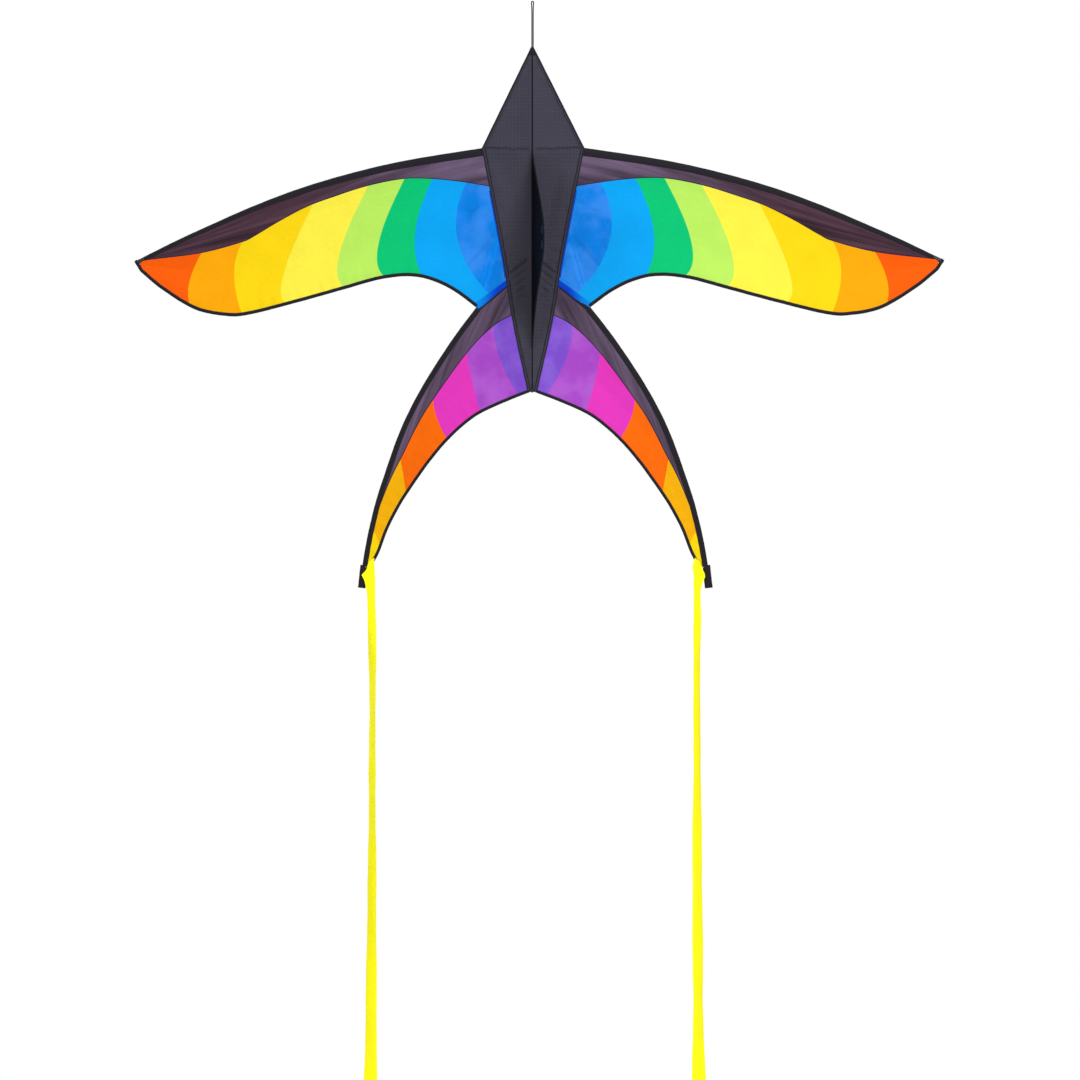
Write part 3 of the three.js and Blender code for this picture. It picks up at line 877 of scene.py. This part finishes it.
def hang_loop():
    rise = [(1.0, -77.5), (1.0, -50), (1.0, -25), (1.15, -11), (LOOP_EYE, -5)]
    angles = [math.pi * i / 6 for i in range(7)]
    turn = [(LOOP_EYE * math.cos(a), LOOP_EYE * (math.sin(a) - 1) - LOOP_CORD_R) for a in angles]
    line = even(spline(rise + turn + [(-x, z) for x, z in reversed(rise)], 220), 0.8)
    made = rod("hanging_loop", line, LOOP_CORD_R, "right", place=spine_points, material=loop_cord,
               spacing=0.8, sides=12)
    finish_piece(made, "spine", "cord", "hang_loop")


for side in SIDES:
    ribbon(side)
hang_loop()


# ---------------------------------------------------------------- the sails
CELL = 4.5
ROWS = 34
PLUM_ROWS = 14
STRIP_ROWS = 4
PANEL_SEAM_WIDTH = 1.5

root_edge = offset(body_edge, BINDING_WIDTH / 2)
wing_top = offset(leading_edge, 0.45 * wing_pocket_width)
wing_bottom = offset(trailing_edge, WING_HEM_WIDTH / 2)[::-1]
tail_outer = joined([(39, -455.6), SEAM_END], offset(tail_outer_edge, TAIL_POCKET_WIDTH / 2)[1:])
tail_inner = offset(tail_inner_edge, TAIL_HEM_WIDTH / 2)[::-1]
wing_plum_edge = spline(
    [(69, -297), (119, -289), (168, -284), (215, -284), (274, -295), (330, -312), (373, -327),
     (418, -349), (462, -374), (484, -384), (551, -401), (633, -411), (653, -412.8)], 200
)
tail_plum_edge = spline(
    [(31, -502), (64, -520), (106, -561), (164, -638), (190, -679), (214, -726), (234, -765),
     (255, -816), (264.5, -846)], 200
)
# The strip over the seam pocket is painted a darker blue, as painted shade of the pocket behind the cloth.
STRIP_TOP = np.array([(40, -445), (97, -485.5)], float)      # the cloth over the seam pocket
# Each wing panel's name and the seam on its outer side, through three points.
WING_SEAMS = [
    ("blue", (110, -291), (125, -380), (72, -468)),
    ("sky", (166, -284), (195, -370), (182, -440)),
    ("green", (212, -284), (256, -387), (244, -440)),
    ("lime", (272, -297), (321, -404), (312, -456)),
    ("yellow", (362, -332), (414, -435), (407, -482)),
    ("gold", (483, -384), (497, -435), (482, -498)),
    ("orange", (551, -402), (571, -446), (570, -486)),
    ("vermilion", (653, -412.8), (653, -419), (652, -426)),
]
TAIL_SEAMS = [
    ("violet", (64, -520), (54, -572), (22, -632)),
    ("purple", (108, -563), (101, -606), (84, -660)),
    ("magenta", (164, -638), (158, -668), (138, -703)),
    ("orange", (218, -734), (214, -758), (206, -789)),
    ("amber", (264.5, -846), (258, -857), (249, -872)),
]


def panels(pattern, seams, colours, top_edge, bottom_edge, first_side, corner=None):
    """Fills the sail between two edges, panel by panel. Gives the bottom points, and where each
    panel's seam meets the top edge."""
    left = first_side
    top_start = share_near(top_edge, left[0])
    bottom_start = share_near(bottom_edge, left[-1])
    bottom_points, tops = [left[-1:]], [top_edge[:1]]
    for name, top, middle, bottom in seams:
        top_end, bottom_end = share_near(top_edge, top), share_near(bottom_edge, bottom)
        length = (top_end - top_start) * arc(top_edge)[-1]
        columns = max(int(round(length / CELL)), 6)
        tops_here = stretch(top_edge, top_start, top_end, columns + 1)
        if corner is not None and bottom_start < corner < bottom_end:
            near = stretch(bottom_edge, bottom_start, corner, 7)
            beyond = stretch(bottom_edge, corner, bottom_end, columns - 5)
            bottoms_here = joined(near, beyond[1:])
        else:
            bottoms_here = stretch(bottom_edge, bottom_start, bottom_end, columns + 1)
        tops_here[0], bottoms_here[0] = left[0], left[-1]
        right = bow(tops_here[-1], middle, bottoms_here[-1], len(left))
        pattern.add(patch(left, right, tops_here, bottoms_here), colours.index(name))
        bottom_points.append(bottoms_here[1:])
        tops.append(tops_here)
        left, top_start, bottom_start = right, top_end, bottom_end
    return np.vstack(bottom_points), tops[1:]


def outer_band(pattern, outer_edge, start, tops, colour, seam_colour):
    """Fills between a sail's outer edge and the tops of its panels, with a narrow seam on them."""
    left_share = share_near(outer_edge, start)
    left = None
    for line in tops:
        right_share = share_near(outer_edge, line[-1])
        outer = stretch(outer_edge, left_share, right_share, len(line))
        away = outer - line
        gap = np.linalg.norm(away, axis=1)[:, None]
        upper = line + away / np.maximum(gap, 0.01) * np.minimum(PANEL_SEAM_WIDTH, 0.4 * gap)
        if left is None:
            inner_ends = share_near(root_edge, outer[0]), share_near(root_edge, upper[0])
            left = stretch(root_edge, *inner_ends, PLUM_ROWS + 1)
            left[0], left[-1] = outer[0], upper[0]
        right = stretch(np.array([outer[-1], upper[-1]]), 0, 1, PLUM_ROWS + 1)
        pattern.add(patch(left, right, outer, upper), colour)
        pattern.add(np.stack([upper, line]), seam_colour)
        left, left_share = right, right_share


def edge_fade(flat, edges, reach):
    """0 at the edges of a sail, rising to 1 away from them."""
    gap = np.min([nearest(flat, edge)[0] for edge in edges], axis=0)
    return 1 - np.exp(-((gap / reach) ** 2))


def pucker(flat, edge, wavelength, height, seed):
    """Small waves where the cloth is drawn in by a sewn edge."""
    gap, run = nearest(flat, edge)
    wave = np.sin(2 * np.pi * run / wavelength + 1.3 * np.sin(run / 41 + seed))
    return height * wave * (gap / 5) * np.exp(-gap / 7)


def sail(side, name, pattern, relief, materials):
    """A sail from its pattern. relief gives how far back the cloth lies at each point."""
    flat = np.array(pattern.points)
    points = side_points(with_depth(flat, CLOTH_B + relief(flat)), side)
    made = make(f"{side}_{name}_cloth", points, pattern.faces, materials, pattern.colours, flat * MM,
                side == "left")
    finish_piece(thicken(made), f"{side}_side", f"{name}_cloth", f"{side}_{name}_sail")
    pattern.area()


WING_PULLS = [
    ((105 + 46 * k, -262 - 9 * k), (640, -409 + 1.2 * k), 4.6 + 0.5 * k, (1.5 - 0.12 * k) * (-1) ** k)
    for k in range(6)
]
WING_RIDGES = WING_PULLS + [
    ((92, -330), (100, -452), 9, -2.6), ((118, -300), (92, -440), 10, 1.8),
    ((150, -300), (205, -430), 14, -1.6), ((300, -320), (385, -470), 18, 1.6),
    ((430, -372), (520, -488), 14, -1.4),
]
TAIL_RIDGES = [
    ((60, -508), (190, -664), 5, -0.9), ((52, -500), (150, -596), 4, 0.7),
    ((60, -560), (180, -700), 12, 1.2), ((40, -540), (70, -640), 8, -1.0),
]


def wing_cloth(side):
    names = list(WING_COLOURS)
    pattern = Pattern()
    bottom_edge = joined(STRIP_TOP, wing_bottom[wing_bottom[:, 0] > STRIP_TOP[-1, 0] + 0.5])
    root_ends = share_near(root_edge, wing_plum_edge[0]), share_near(root_edge, STRIP_TOP[0])
    root = stretch(root_edge, *root_ends, ROWS + 1)
    root[0], root[-1] = wing_plum_edge[0], STRIP_TOP[0]
    corner = share_near(bottom_edge, STRIP_TOP[-1])
    bottom_points, tops = panels(pattern, WING_SEAMS, names, wing_plum_edge, bottom_edge, root, corner)
    outer_band(pattern, wing_top, (81, -241), tops, names.index("plum"), names.index("seam"))

    # The strip over the seam pocket, in the darker blue that is painted shade of the pocket behind it.
    strip = bottom_points[:len(tops[0]) + 6]
    seam = stretch(np.array([(39, -455.6), SEAM_END]), 0, 1, len(strip))
    inner, outer = [
        stretch(np.array([strip[end], seam[end]]), 0, 1, STRIP_ROWS + 1) for end in (0, -1)
    ]
    pattern.add(patch(inner, outer, strip, seam), names.index("royal"))
    seed = 0.0 if side == "left" else 2.1

    def relief(flat):
        lie = 6.0 * edge_fade(flat, [wing_top, bottom_edge, root_edge], 34) + folds(flat, WING_RIDGES)
        lie += pucker(flat, wing_bottom, 21, 0.9, seed) + pucker(flat, root_edge, 26, 0.9, seed + 1)
        strip_gap = nearest(flat, STRIP_TOP + np.array([-3.1, -3.8]))[0]
        return lie - 0.55 * np.exp(-((strip_gap / 3.4) ** 2)) * edge_fade(flat, [wing_bottom, root], 9)

    sail(side, "wing", pattern, relief, wing_cloths)


def tail_cloth(side):
    names = list(TAIL_COLOURS)
    pattern = Pattern()
    root = stretch(root_edge, share_near(root_edge, tail_plum_edge[0]), 1, ROWS + 1)
    root[0], root[-1] = tail_plum_edge[0], (6, -625)
    _, tops = panels(pattern, TAIL_SEAMS, names, tail_plum_edge, tail_inner, root)
    outer_band(pattern, tail_outer, tail_outer[0], tops, names.index("plum"), names.index("seam"))

    _, top_point, middle, bottom_point = TAIL_SEAMS[-1]
    bottom_share = share_near(tail_inner, bottom_point)
    left = bow(tops[-1][-1], middle, at(tail_inner, bottom_share), ROWS + 1)
    top = stretch(tail_outer, share_near(tail_outer, top_point), 1, 14)
    bottom = stretch(tail_inner, bottom_share, 1, 14)
    top[0], bottom[0] = left[0], left[-1]
    right = stretch(np.array([top[-1], bottom[-1]]), 0, 1, ROWS + 1)
    pattern.add(patch(left, right, top, bottom), names.index("yellow"))
    seed = 0.7 if side == "left" else 2.9

    def relief(flat):
        lie = 4.0 * edge_fade(flat, [tail_outer, tail_inner, root_edge], 26) + folds(flat, TAIL_RIDGES)
        return lie + pucker(flat, tail_inner, 19, 0.7, seed) + pucker(flat, root_edge, 24, 0.7, seed + 2)

    sail(side, "tail", pattern, relief, tail_cloths)


# ---------------------------------------------------------------- the black body and the keel
BODY_ROWS = 116
BODY_COLUMNS = 20
body_rim = offset(joined(stretch(nose_edge, 0, 1, 40), body_edge[1:]), BINDING_WIDTH / 2)


def spine_rise(z):
    """How far the cloth stands forward over the spine pocket and the hubs."""
    hubs = sum(np.exp(-(((z - hub) / 13) ** 4)) for hub in (WING_HUB_Z, TAIL_HUB_Z))
    return 0.5 + 1.3 * hubs


BODY_RIDGES = [
    ((12, WING_HUB_Z), (92, WING_HUB_Z + 1), 3.2, -0.9), ((10, -416), (60, -468), 3.4, -1.0),
    ((8, -432), (44, -500), 4.5, -0.8), ((14, -130), (66, -232), 8, 1.0),
    ((66, -250), (22, -400), 8, -0.9), ((50, -262), (16, -360), 7, 0.8),
]


def body_cloth_half(side):
    rim = joined(body_rim, [(0.4, BODY_BOTTOM_Z - 2)])
    heights = np.linspace(NOSE_Z - 1.5, BODY_BOTTOM_Z - 2, BODY_ROWS)
    reach = np.interp(-heights, -rim[:, 1], rim[:, 0])
    shares = np.linspace(0, 1, BODY_COLUMNS) ** 1.15
    flat = np.stack([shares[None] * reach[:, None], np.repeat(heights[:, None], BODY_COLUMNS, 1)], -1)
    flat = flat.reshape(-1, 2)
    seed = 1.0 if side == "left" else 2.2
    s, z = flat.T
    lie = 2.6 * edge_fade(flat, [rim, [(0, NOSE_Z), (0, BODY_BOTTOM_Z)], [(0, WING_HUB_Z), SHOULDER]], 22)
    lie -= spine_rise(z) * np.exp(-((s / 5) ** 2))
    lie += folds(flat, BODY_RIDGES)
    lie += pucker(flat, body_edge, 24, 0.8, seed) + pucker(flat, nose_edge, 28, 0.7, seed)
    points = side_points(with_depth(flat, CLOTH_B + lie), side)
    middle = np.abs(s) < 0.01
    points[middle, 0] = 0
    made = make(f"{side}_body_cloth", points, grid_faces(BODY_ROWS, BODY_COLUMNS), [body_cloth],
                cloth_map=flat * MM, flip=side == "left")
    settle(thicken(made))
    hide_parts(f"{side}_body_panel")
    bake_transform(made)


keel_edge = spline(
    [(0.3, -240), (60, -298), (108, -345), (120, -372), (116, -404), (84, -440), (40, -486),
     (0.3, -556)], 160
)
EYELET_REACH = 104
EYELET_HEIGHTS = (-368, -392)
EYELET_BARREL = 4.6


TURN = np.linspace(0, 2 * np.pi, 48, endpoint=False)      # the angles of a turned piece


def turned(name, profile, material, ring=False):
    """A piece turned about the spine: profile gives radius and height."""
    points = [(r * math.cos(a) * MM, r * math.sin(a) * MM, z * MM) for r, z in profile for a in TURN]
    cloth_map = [(run * MM, a * 3 * MM) for run in arc(np.array(profile, float)) for a in TURN]
    return closed(name, points, skin_faces(len(profile), 48, ring), material, 35, cloth_map)


def turned_at_eyelet(name, profile, z, ring=True):
    """A piece turned about an eyelet's middle: profile gives radius and depth."""
    rings = [
        np.column_stack([EYELET_REACH + r * np.cos(TURN), z + r * np.sin(TURN), np.full(48, depth)])
        for r, depth in profile
    ]
    faces = skin_faces(len(profile), 48, ring)
    return closed(name, keel_points(np.vstack(rings)), faces, eyelet_metal, 35)


def punch(piece):
    """Cuts the two eyelet holes."""
    for z in EYELET_HEIGHTS:
        tool = turned_at_eyelet("punch", [(EYELET_BARREL + 0.15, b) for b in (-6, 6)], z, ring=False)
        combine(piece, tool, "DIFFERENCE")
    return piece


def plate(name, outline, front, back, place, material, side="right"):
    """A flat piece of any outline."""
    outline = np.array(outline, float)
    count = len(outline)
    points = place(np.vstack([with_depth(outline, front), with_depth(outline, back)]), side)
    faces = [tuple(range(count)), tuple(range(count, 2 * count))[::-1]]
    faces += [(j, (j + 1) % count, count + (j + 1) % count, count + j) for j in range(count)]
    return closed(name, points, faces, material, cloth_map=np.tile(outline, (2, 1)) * MM)


def soften(piece, width, segments=2):
    modifier = piece.modifiers.new("edges", "BEVEL")
    modifier.width = width * MM
    modifier.segments = segments
    modifier.limit_method = "ANGLE"
    settle(piece)
    piece.data.set_sharp_from_angle(angle=math.radians(40))
    return piece


def keel():
    edge = offset(keel_edge, KEEL_HEM_WIDTH / 2)
    rows = 72
    root = np.column_stack([np.full(rows, -2.2), np.linspace(-240.5, -555.5, rows)])
    run = np.interp(np.linspace(0, 1, rows), [0, 0.5, 1], [0, share_near(edge, (117, -382)), 1])
    front = at(edge, run)
    front[0], front[-1] = (0.3, -241.5), (0.3, -554.5)
    shares = np.linspace(0, 1, 26)[None, :, None]
    flat = ((1 - shares) * root[:, None] + shares * front[:, None]).reshape(-1, 2)
    reach = np.clip(flat[:, 0] / 60, 0, 1)
    lie = 1.6 * reach * np.sin(flat[:, 1] / 46) * np.clip((108 - flat[:, 0]) / 50, 0, 1)
    fin = make("shaded_keel_cloth", keel_points(with_depth(flat, lie)), grid_faces(rows, 26), [shaded_keel_cloth],
               cloth_map=flat * MM)
    punch(settle(thicken(fin, 0.4)))
    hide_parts("keel_fin")
    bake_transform(fin)

    hem = tape("keel_hem_tape", keel_edge, KEEL_HEM_WIDTH, lambda w: hem_profile(w, 0.0), keel_points,
               "right", 0.4, material=shaded_keel_tape)
    finish_piece(hem, "keel", "tape", "keel_hem")
    patch_outline = [(92, -345), (104, -352), (112, -372), (110, -398), (104, -408), (84, -380)]
    piece = plate("keel_reinforcement", patch_outline, 0.25, 1.0, keel_points, shaded_keel_tape)
    soften(punch(piece), 0.2)
    finish_piece(piece, "keel", "tape", "keel_patch")
    profile = [
        (3.5, -0.9), (3.8, -1.25), (4.4, -1.4), (6.6, -1.35), (7.4, -1.0), (7.5, -0.7), (4.6, -0.5),
        (4.6, 1.4), (7.5, 1.5), (7.4, 1.9), (6.6, 2.25), (4.4, 2.3), (3.8, 2.1), (3.5, 1.7),
    ]
    for i, z in enumerate(EYELET_HEIGHTS, 1):
        finish_piece(turned_at_eyelet(f"tow_eyelet_ring_{i}", profile, z), "keel", "eyelet",
                     f"tow_eyelet_{i}")


# ---------------------------------------------------------------- sewn edges, sleeves and rods
SEAM_INSET = 1.3          # how far inside a tape's inner edge it is stitched
SLEEVE_FACE_B = -4.4


def sewn_edges(side):
    body = f"{side}_side"
    seed = 0.3 if side == "left" else 1.7

    def add(name, line, width, profile, *nodes, cloth=black_tape, slot="tape", wave=None):
        wave = seed + len(name) if wave is None else wave
        piece = tape(f"{side}_{name}", line, width, profile, side_points, side, wave, material=cloth)
        finish_piece(piece, body, slot, *[f"{side}_{node}" for node in nodes])

    def forward_profile(width):
        return hem_profile(width, CLOTH_B - 0.4)

    nose_line = stretch(nose_edge, 0, 1, 61)
    nose_widths = np.minimum(BINDING_WIDTH, 1.1 + 0.45 * arc(nose_line))
    add("nose_binding_tape", nose_line, nose_widths, hem_profile, "nose_binding", cloth=nose_edge_cloth)
    add("body_binding_tape", body_edge, BINDING_WIDTH, forward_profile, "body_binding", cloth=bound_edge)
    sleeve = np.column_stack([leading_edge, wing_pocket_width])
    first_step = sleeve[1] - sleeve[0]
    behind_body = sleeve[0] - 5 * first_step / np.linalg.norm(first_step)
    sleeve = joined([behind_body], sleeve[sleeve[:, 0] < 650])
    add("wing_sleeve", sleeve[:, :2], sleeve[:, 2], pocket_profile(WING_ROD_R), "wing_pocket")
    add("wing_hem_tape", trailing_edge, WING_HEM_WIDTH, hem_profile, "wing_hem")
    tail_sleeve = tail_outer_edge[tail_outer_edge[:, 1] > -904.5]
    add("tail_sleeve", tail_sleeve, TAIL_POCKET_WIDTH, pocket_profile(TAIL_ROD_R), "tail_pocket")
    add("tail_hem_tape", tail_inner_edge, TAIL_HEM_WIDTH, hem_profile, "tail_hem")
    add("seam_sleeve", seam_line[::-1], TAIL_POCKET_WIDTH, seam_profile, "seam_pocket")
    add("seam_tape", offset(seam_line, -1.2), 2.4, flat_profile)
    blue_root = body_edge[(body_edge[:, 1] < -299) & (body_edge[:, 1] > -444)]
    add("root_seam", offset(blue_root, -1.9), 3.4, flat_profile, cloth=root_seam_cloth,
        slot="wing_cloth", wave=seed)
    add("tail_end_sleeve", [(285.4, -902.5), (289.6, -939)], 12.4, end_profile, "tail_end_cap")

    run = even(sleeve, 3.0)
    run = run[:, :2] + normals(run[:, :2]) * (run[:, 2:] - SEAM_INSET)
    stitching(side, (
        (nose_line[6:], BINDING_WIDTH - SEAM_INSET, CLOTH_B - 0.7),
        (body_edge, BINDING_WIDTH - SEAM_INSET, CLOTH_B - 1.1),
        (trailing_edge, WING_HEM_WIDTH - SEAM_INSET, CLOTH_B - 0.7),
        (tail_inner_edge, TAIL_HEM_WIDTH - SEAM_INSET, CLOTH_B - 0.7),
        (tail_sleeve, TAIL_POCKET_WIDTH - SEAM_INSET, SLEEVE_FACE_B), (run, 0, SLEEVE_FACE_B),
    ))


def seam_profile(width):
    """The pocket behind the wing root, with its rod in the middle."""
    middle = width / 2
    return [
        (0.0, -2.9), (0.2, -3.3), (middle, -3.4), (width - 0.2, -3.3), (width, -2.9),
        (middle + 3.4, -1.6), (middle + 2.4, 0.8), (middle, 2.3), (middle - 2.4, 0.8), (middle - 3.4, -1.6),
    ]


def flat_profile(width):
    return [(0, -4.0), (0.2, -4.35), (width - 0.2, -4.35), (width, -4.0), (width, -3.7), (0, -3.7)]


def end_profile(width):
    """The short sleeve that closes the tail rod's pocket."""
    middle = width / 2
    return [
        (middle + middle * 0.98 * math.cos(a) * (1 + 0.04 * math.cos(4 * a)),
         -0.9 + 3.9 * math.sin(a) * (1 + 0.12 * math.cos(2 * a)))
        for a in np.linspace(0, 2 * np.pi, 20, endpoint=False)
    ]


def hub_arm(side, name, hub_z, rod_line, rod_radius):
    """A knuckle that turns on the spine rod, and a socket for a rod, joined by a web."""
    level = 0.15 if side == "right" else -9.15
    bottom, top = hub_z + level, hub_z + level + 9
    start, following = np.array(rod_line[0], float), np.array(rod_line[1], float)
    along = (following - start) / np.linalg.norm(following - start)
    across = np.array([-along[1], along[0]])
    radius = rod_radius + 1.0
    socket_start = start - 2 * along

    knuckle = turned(f"{side}_{name}_hub", [
        (2.8, bottom + 0.3), (3.1, bottom), (4.5, bottom), (4.8, bottom + 0.3), (4.8, top - 0.3),
        (4.5, top), (3.1, top), (2.8, top - 0.3)], nylon, ring=True)
    web_end, web_half = socket_start + 4 * along, 0.8 * radius * across
    web_outline = [
        (3.9, top - 0.4), (6, top - 0.4), web_end + web_half, web_end - web_half,
        (6, bottom + 0.4), (3.9, bottom + 0.4),
    ]
    combine(knuckle, plate("web", web_outline, -1.2, 1.2, side_points, nylon, side), "UNION")
    socket = [(0, 0.9 * radius), (0.6, radius), (29.4, radius), (30, 0.9 * radius)]
    bore = [(1.4, rod_radius + 0.3), (40, rod_radius + 0.3)]
    for tool, sections, operation in (("socket", socket, "UNION"), ("bore", bore, "DIFFERENCE")):
        rings = [hoop(socket_start + reach * along, across, r, sides=40) for reach, r in sections]
        combine(knuckle, loft(tool, rings, side_points, side, nylon), operation)
    knuckle.data.set_sharp_from_angle(angle=math.radians(35))
    return finish_piece(knuckle, f"{side}_side", "plastic", f"{side}_{name}_arm")


def wing_tip_cap(side):
    """A moulded cap over the end of the leading edge."""
    line = leading_edge[leading_edge[:, 0] > 646.5]
    line = even(joined(line, [line[-1] + 0.1]), 1.0)
    along, right = arc(line), normals(line)
    rings = []
    for point, normal, run in zip(line + 3.5 * right, right, along):
        end = share_between(run, along[-1] - 5, along[-1])
        size = math.sqrt(max(1 - end**2, 0.02)) * (0.96 if run < 0.5 else 1.0)
        rings.append(hoop(point, normal, 3.75 * size, -0.8, 32))
    cap = loft(f"{side}_tip_cap", rings, side_points, side, nylon)
    finish_piece(cap, f"{side}_side", "plastic", f"{side}_wing_tip_cap")


def rods(side):
    for name, line, radius in (("wing", wing_rod_line, WING_ROD_R), ("tail", tail_rod_line, TAIL_ROD_R)):
        spar = rod(f"{side}_{name}_spar", line, radius, side)
        finish_piece(spar, f"{side}_side", "rod", f"{side}_{name}_rod")
    hub_arm(side, "wing", WING_HUB_Z, wing_rod_line, WING_ROD_R)
    hub_arm(side, "tail", TAIL_HUB_Z, tail_rod_line, TAIL_ROD_R)
    wing_tip_cap(side)


# ---------------------------------------------------------------- the spine
def spine():
    top, bottom = NOSE_Z - 5, BODY_BOTTOM_Z + 8
    r = SPINE_ROD_R
    shaft = turned("spine_spar", [(r - 0.4, top), (r, top - 0.5), (r, bottom + 0.5), (r - 0.4, bottom)],
                   carbon)
    finish_piece(shaft, "spine", "rod", "spine_rod")
    cap = [(2.0, 0.3), (2.8, 0), (2.8, -14), (3.2, -14), (3.5, -13.6), (3.5, 1), (2.9, 1.8), (2.0, 2)]
    for end, z, up in (("top", top, 1), ("bottom", bottom, -1)):
        piece = turned(f"spine_end_cap_{end}", [(r, z + up * rise) for r, rise in cap], nylon)
        finish_piece(piece, "spine", "plastic", f"spine_cap_{end}")
    collar = [(2.8, 0.3), (3.1, 0), (4.4, 0), (4.8, 0.5), (4.8, 3.5), (4.4, 4), (3.1, 4), (2.8, 3.7)]
    for hub, hub_z in (("wing", WING_HUB_Z), ("tail", TAIL_HUB_Z)):
        for end, low in (("top", hub_z + 9.45), ("bottom", hub_z - 13.45)):
            piece = turned(f"{hub}_hub_ring_{end}", [(r, low + rise) for r, rise in collar], nylon,
                           ring=True)
            finish_piece(piece, "spine", "plastic", f"{hub}_hub_collar_{end}")
    sleeves = {"top": (-226.4, -94.3), "middle": (-396.4, -253.6), "bottom": (-602.7, -423.6)}
    for name, (low, high) in sleeves.items():
        heights = np.linspace(low, high, int((high - low) / 3))
        outside = [(3.62 + 0.12 * math.sin(z / 6.1) + 0.08 * math.sin(z / 2.7), z) for z in heights]
        profile = [(2.8, low)] + outside + [(2.8, high)]
        piece = turned(f"spine_sleeve_{name}", profile, black_tape, ring=True)
        finish_piece(piece, "spine", "tape", f"spine_pocket_{name}")

    heights = np.linspace(-87, BODY_BOTTOM_Z + 4, 140)
    rings = []
    for z in heights:
        y = CLOTH_B - spine_rise(z) - 0.1
        rings.append([(-1.1, z, y + 0.1), (-0.9, z, y - 0.3), (0.9, z, y - 0.3), (1.1, z, y + 0.1),
                      (0.9, z, y + 0.3), (-0.9, z, y + 0.3)])
    finish_piece(loft("spine_seam_tape", rings, spine_points, "right", shaded_keel_tape), "spine", "tape")

    outline = [(0, -73.5), (1.5, -75.5), (6.5, -86), (0, -87.5), (-6.5, -86), (-1.5, -75.5)]
    patch_piece = plate("nose_reinforcement", outline, -5.4, -4.8, spine_points, black_tape)
    finish_piece(soften(patch_piece, 0.2), "spine", "tape", "nose_patch")


for side in SIDES:
    wing_cloth(side)
    tail_cloth(side)
    body_cloth_half(side)
    sewn_edges(side)
    rods(side)
spine()
keel()
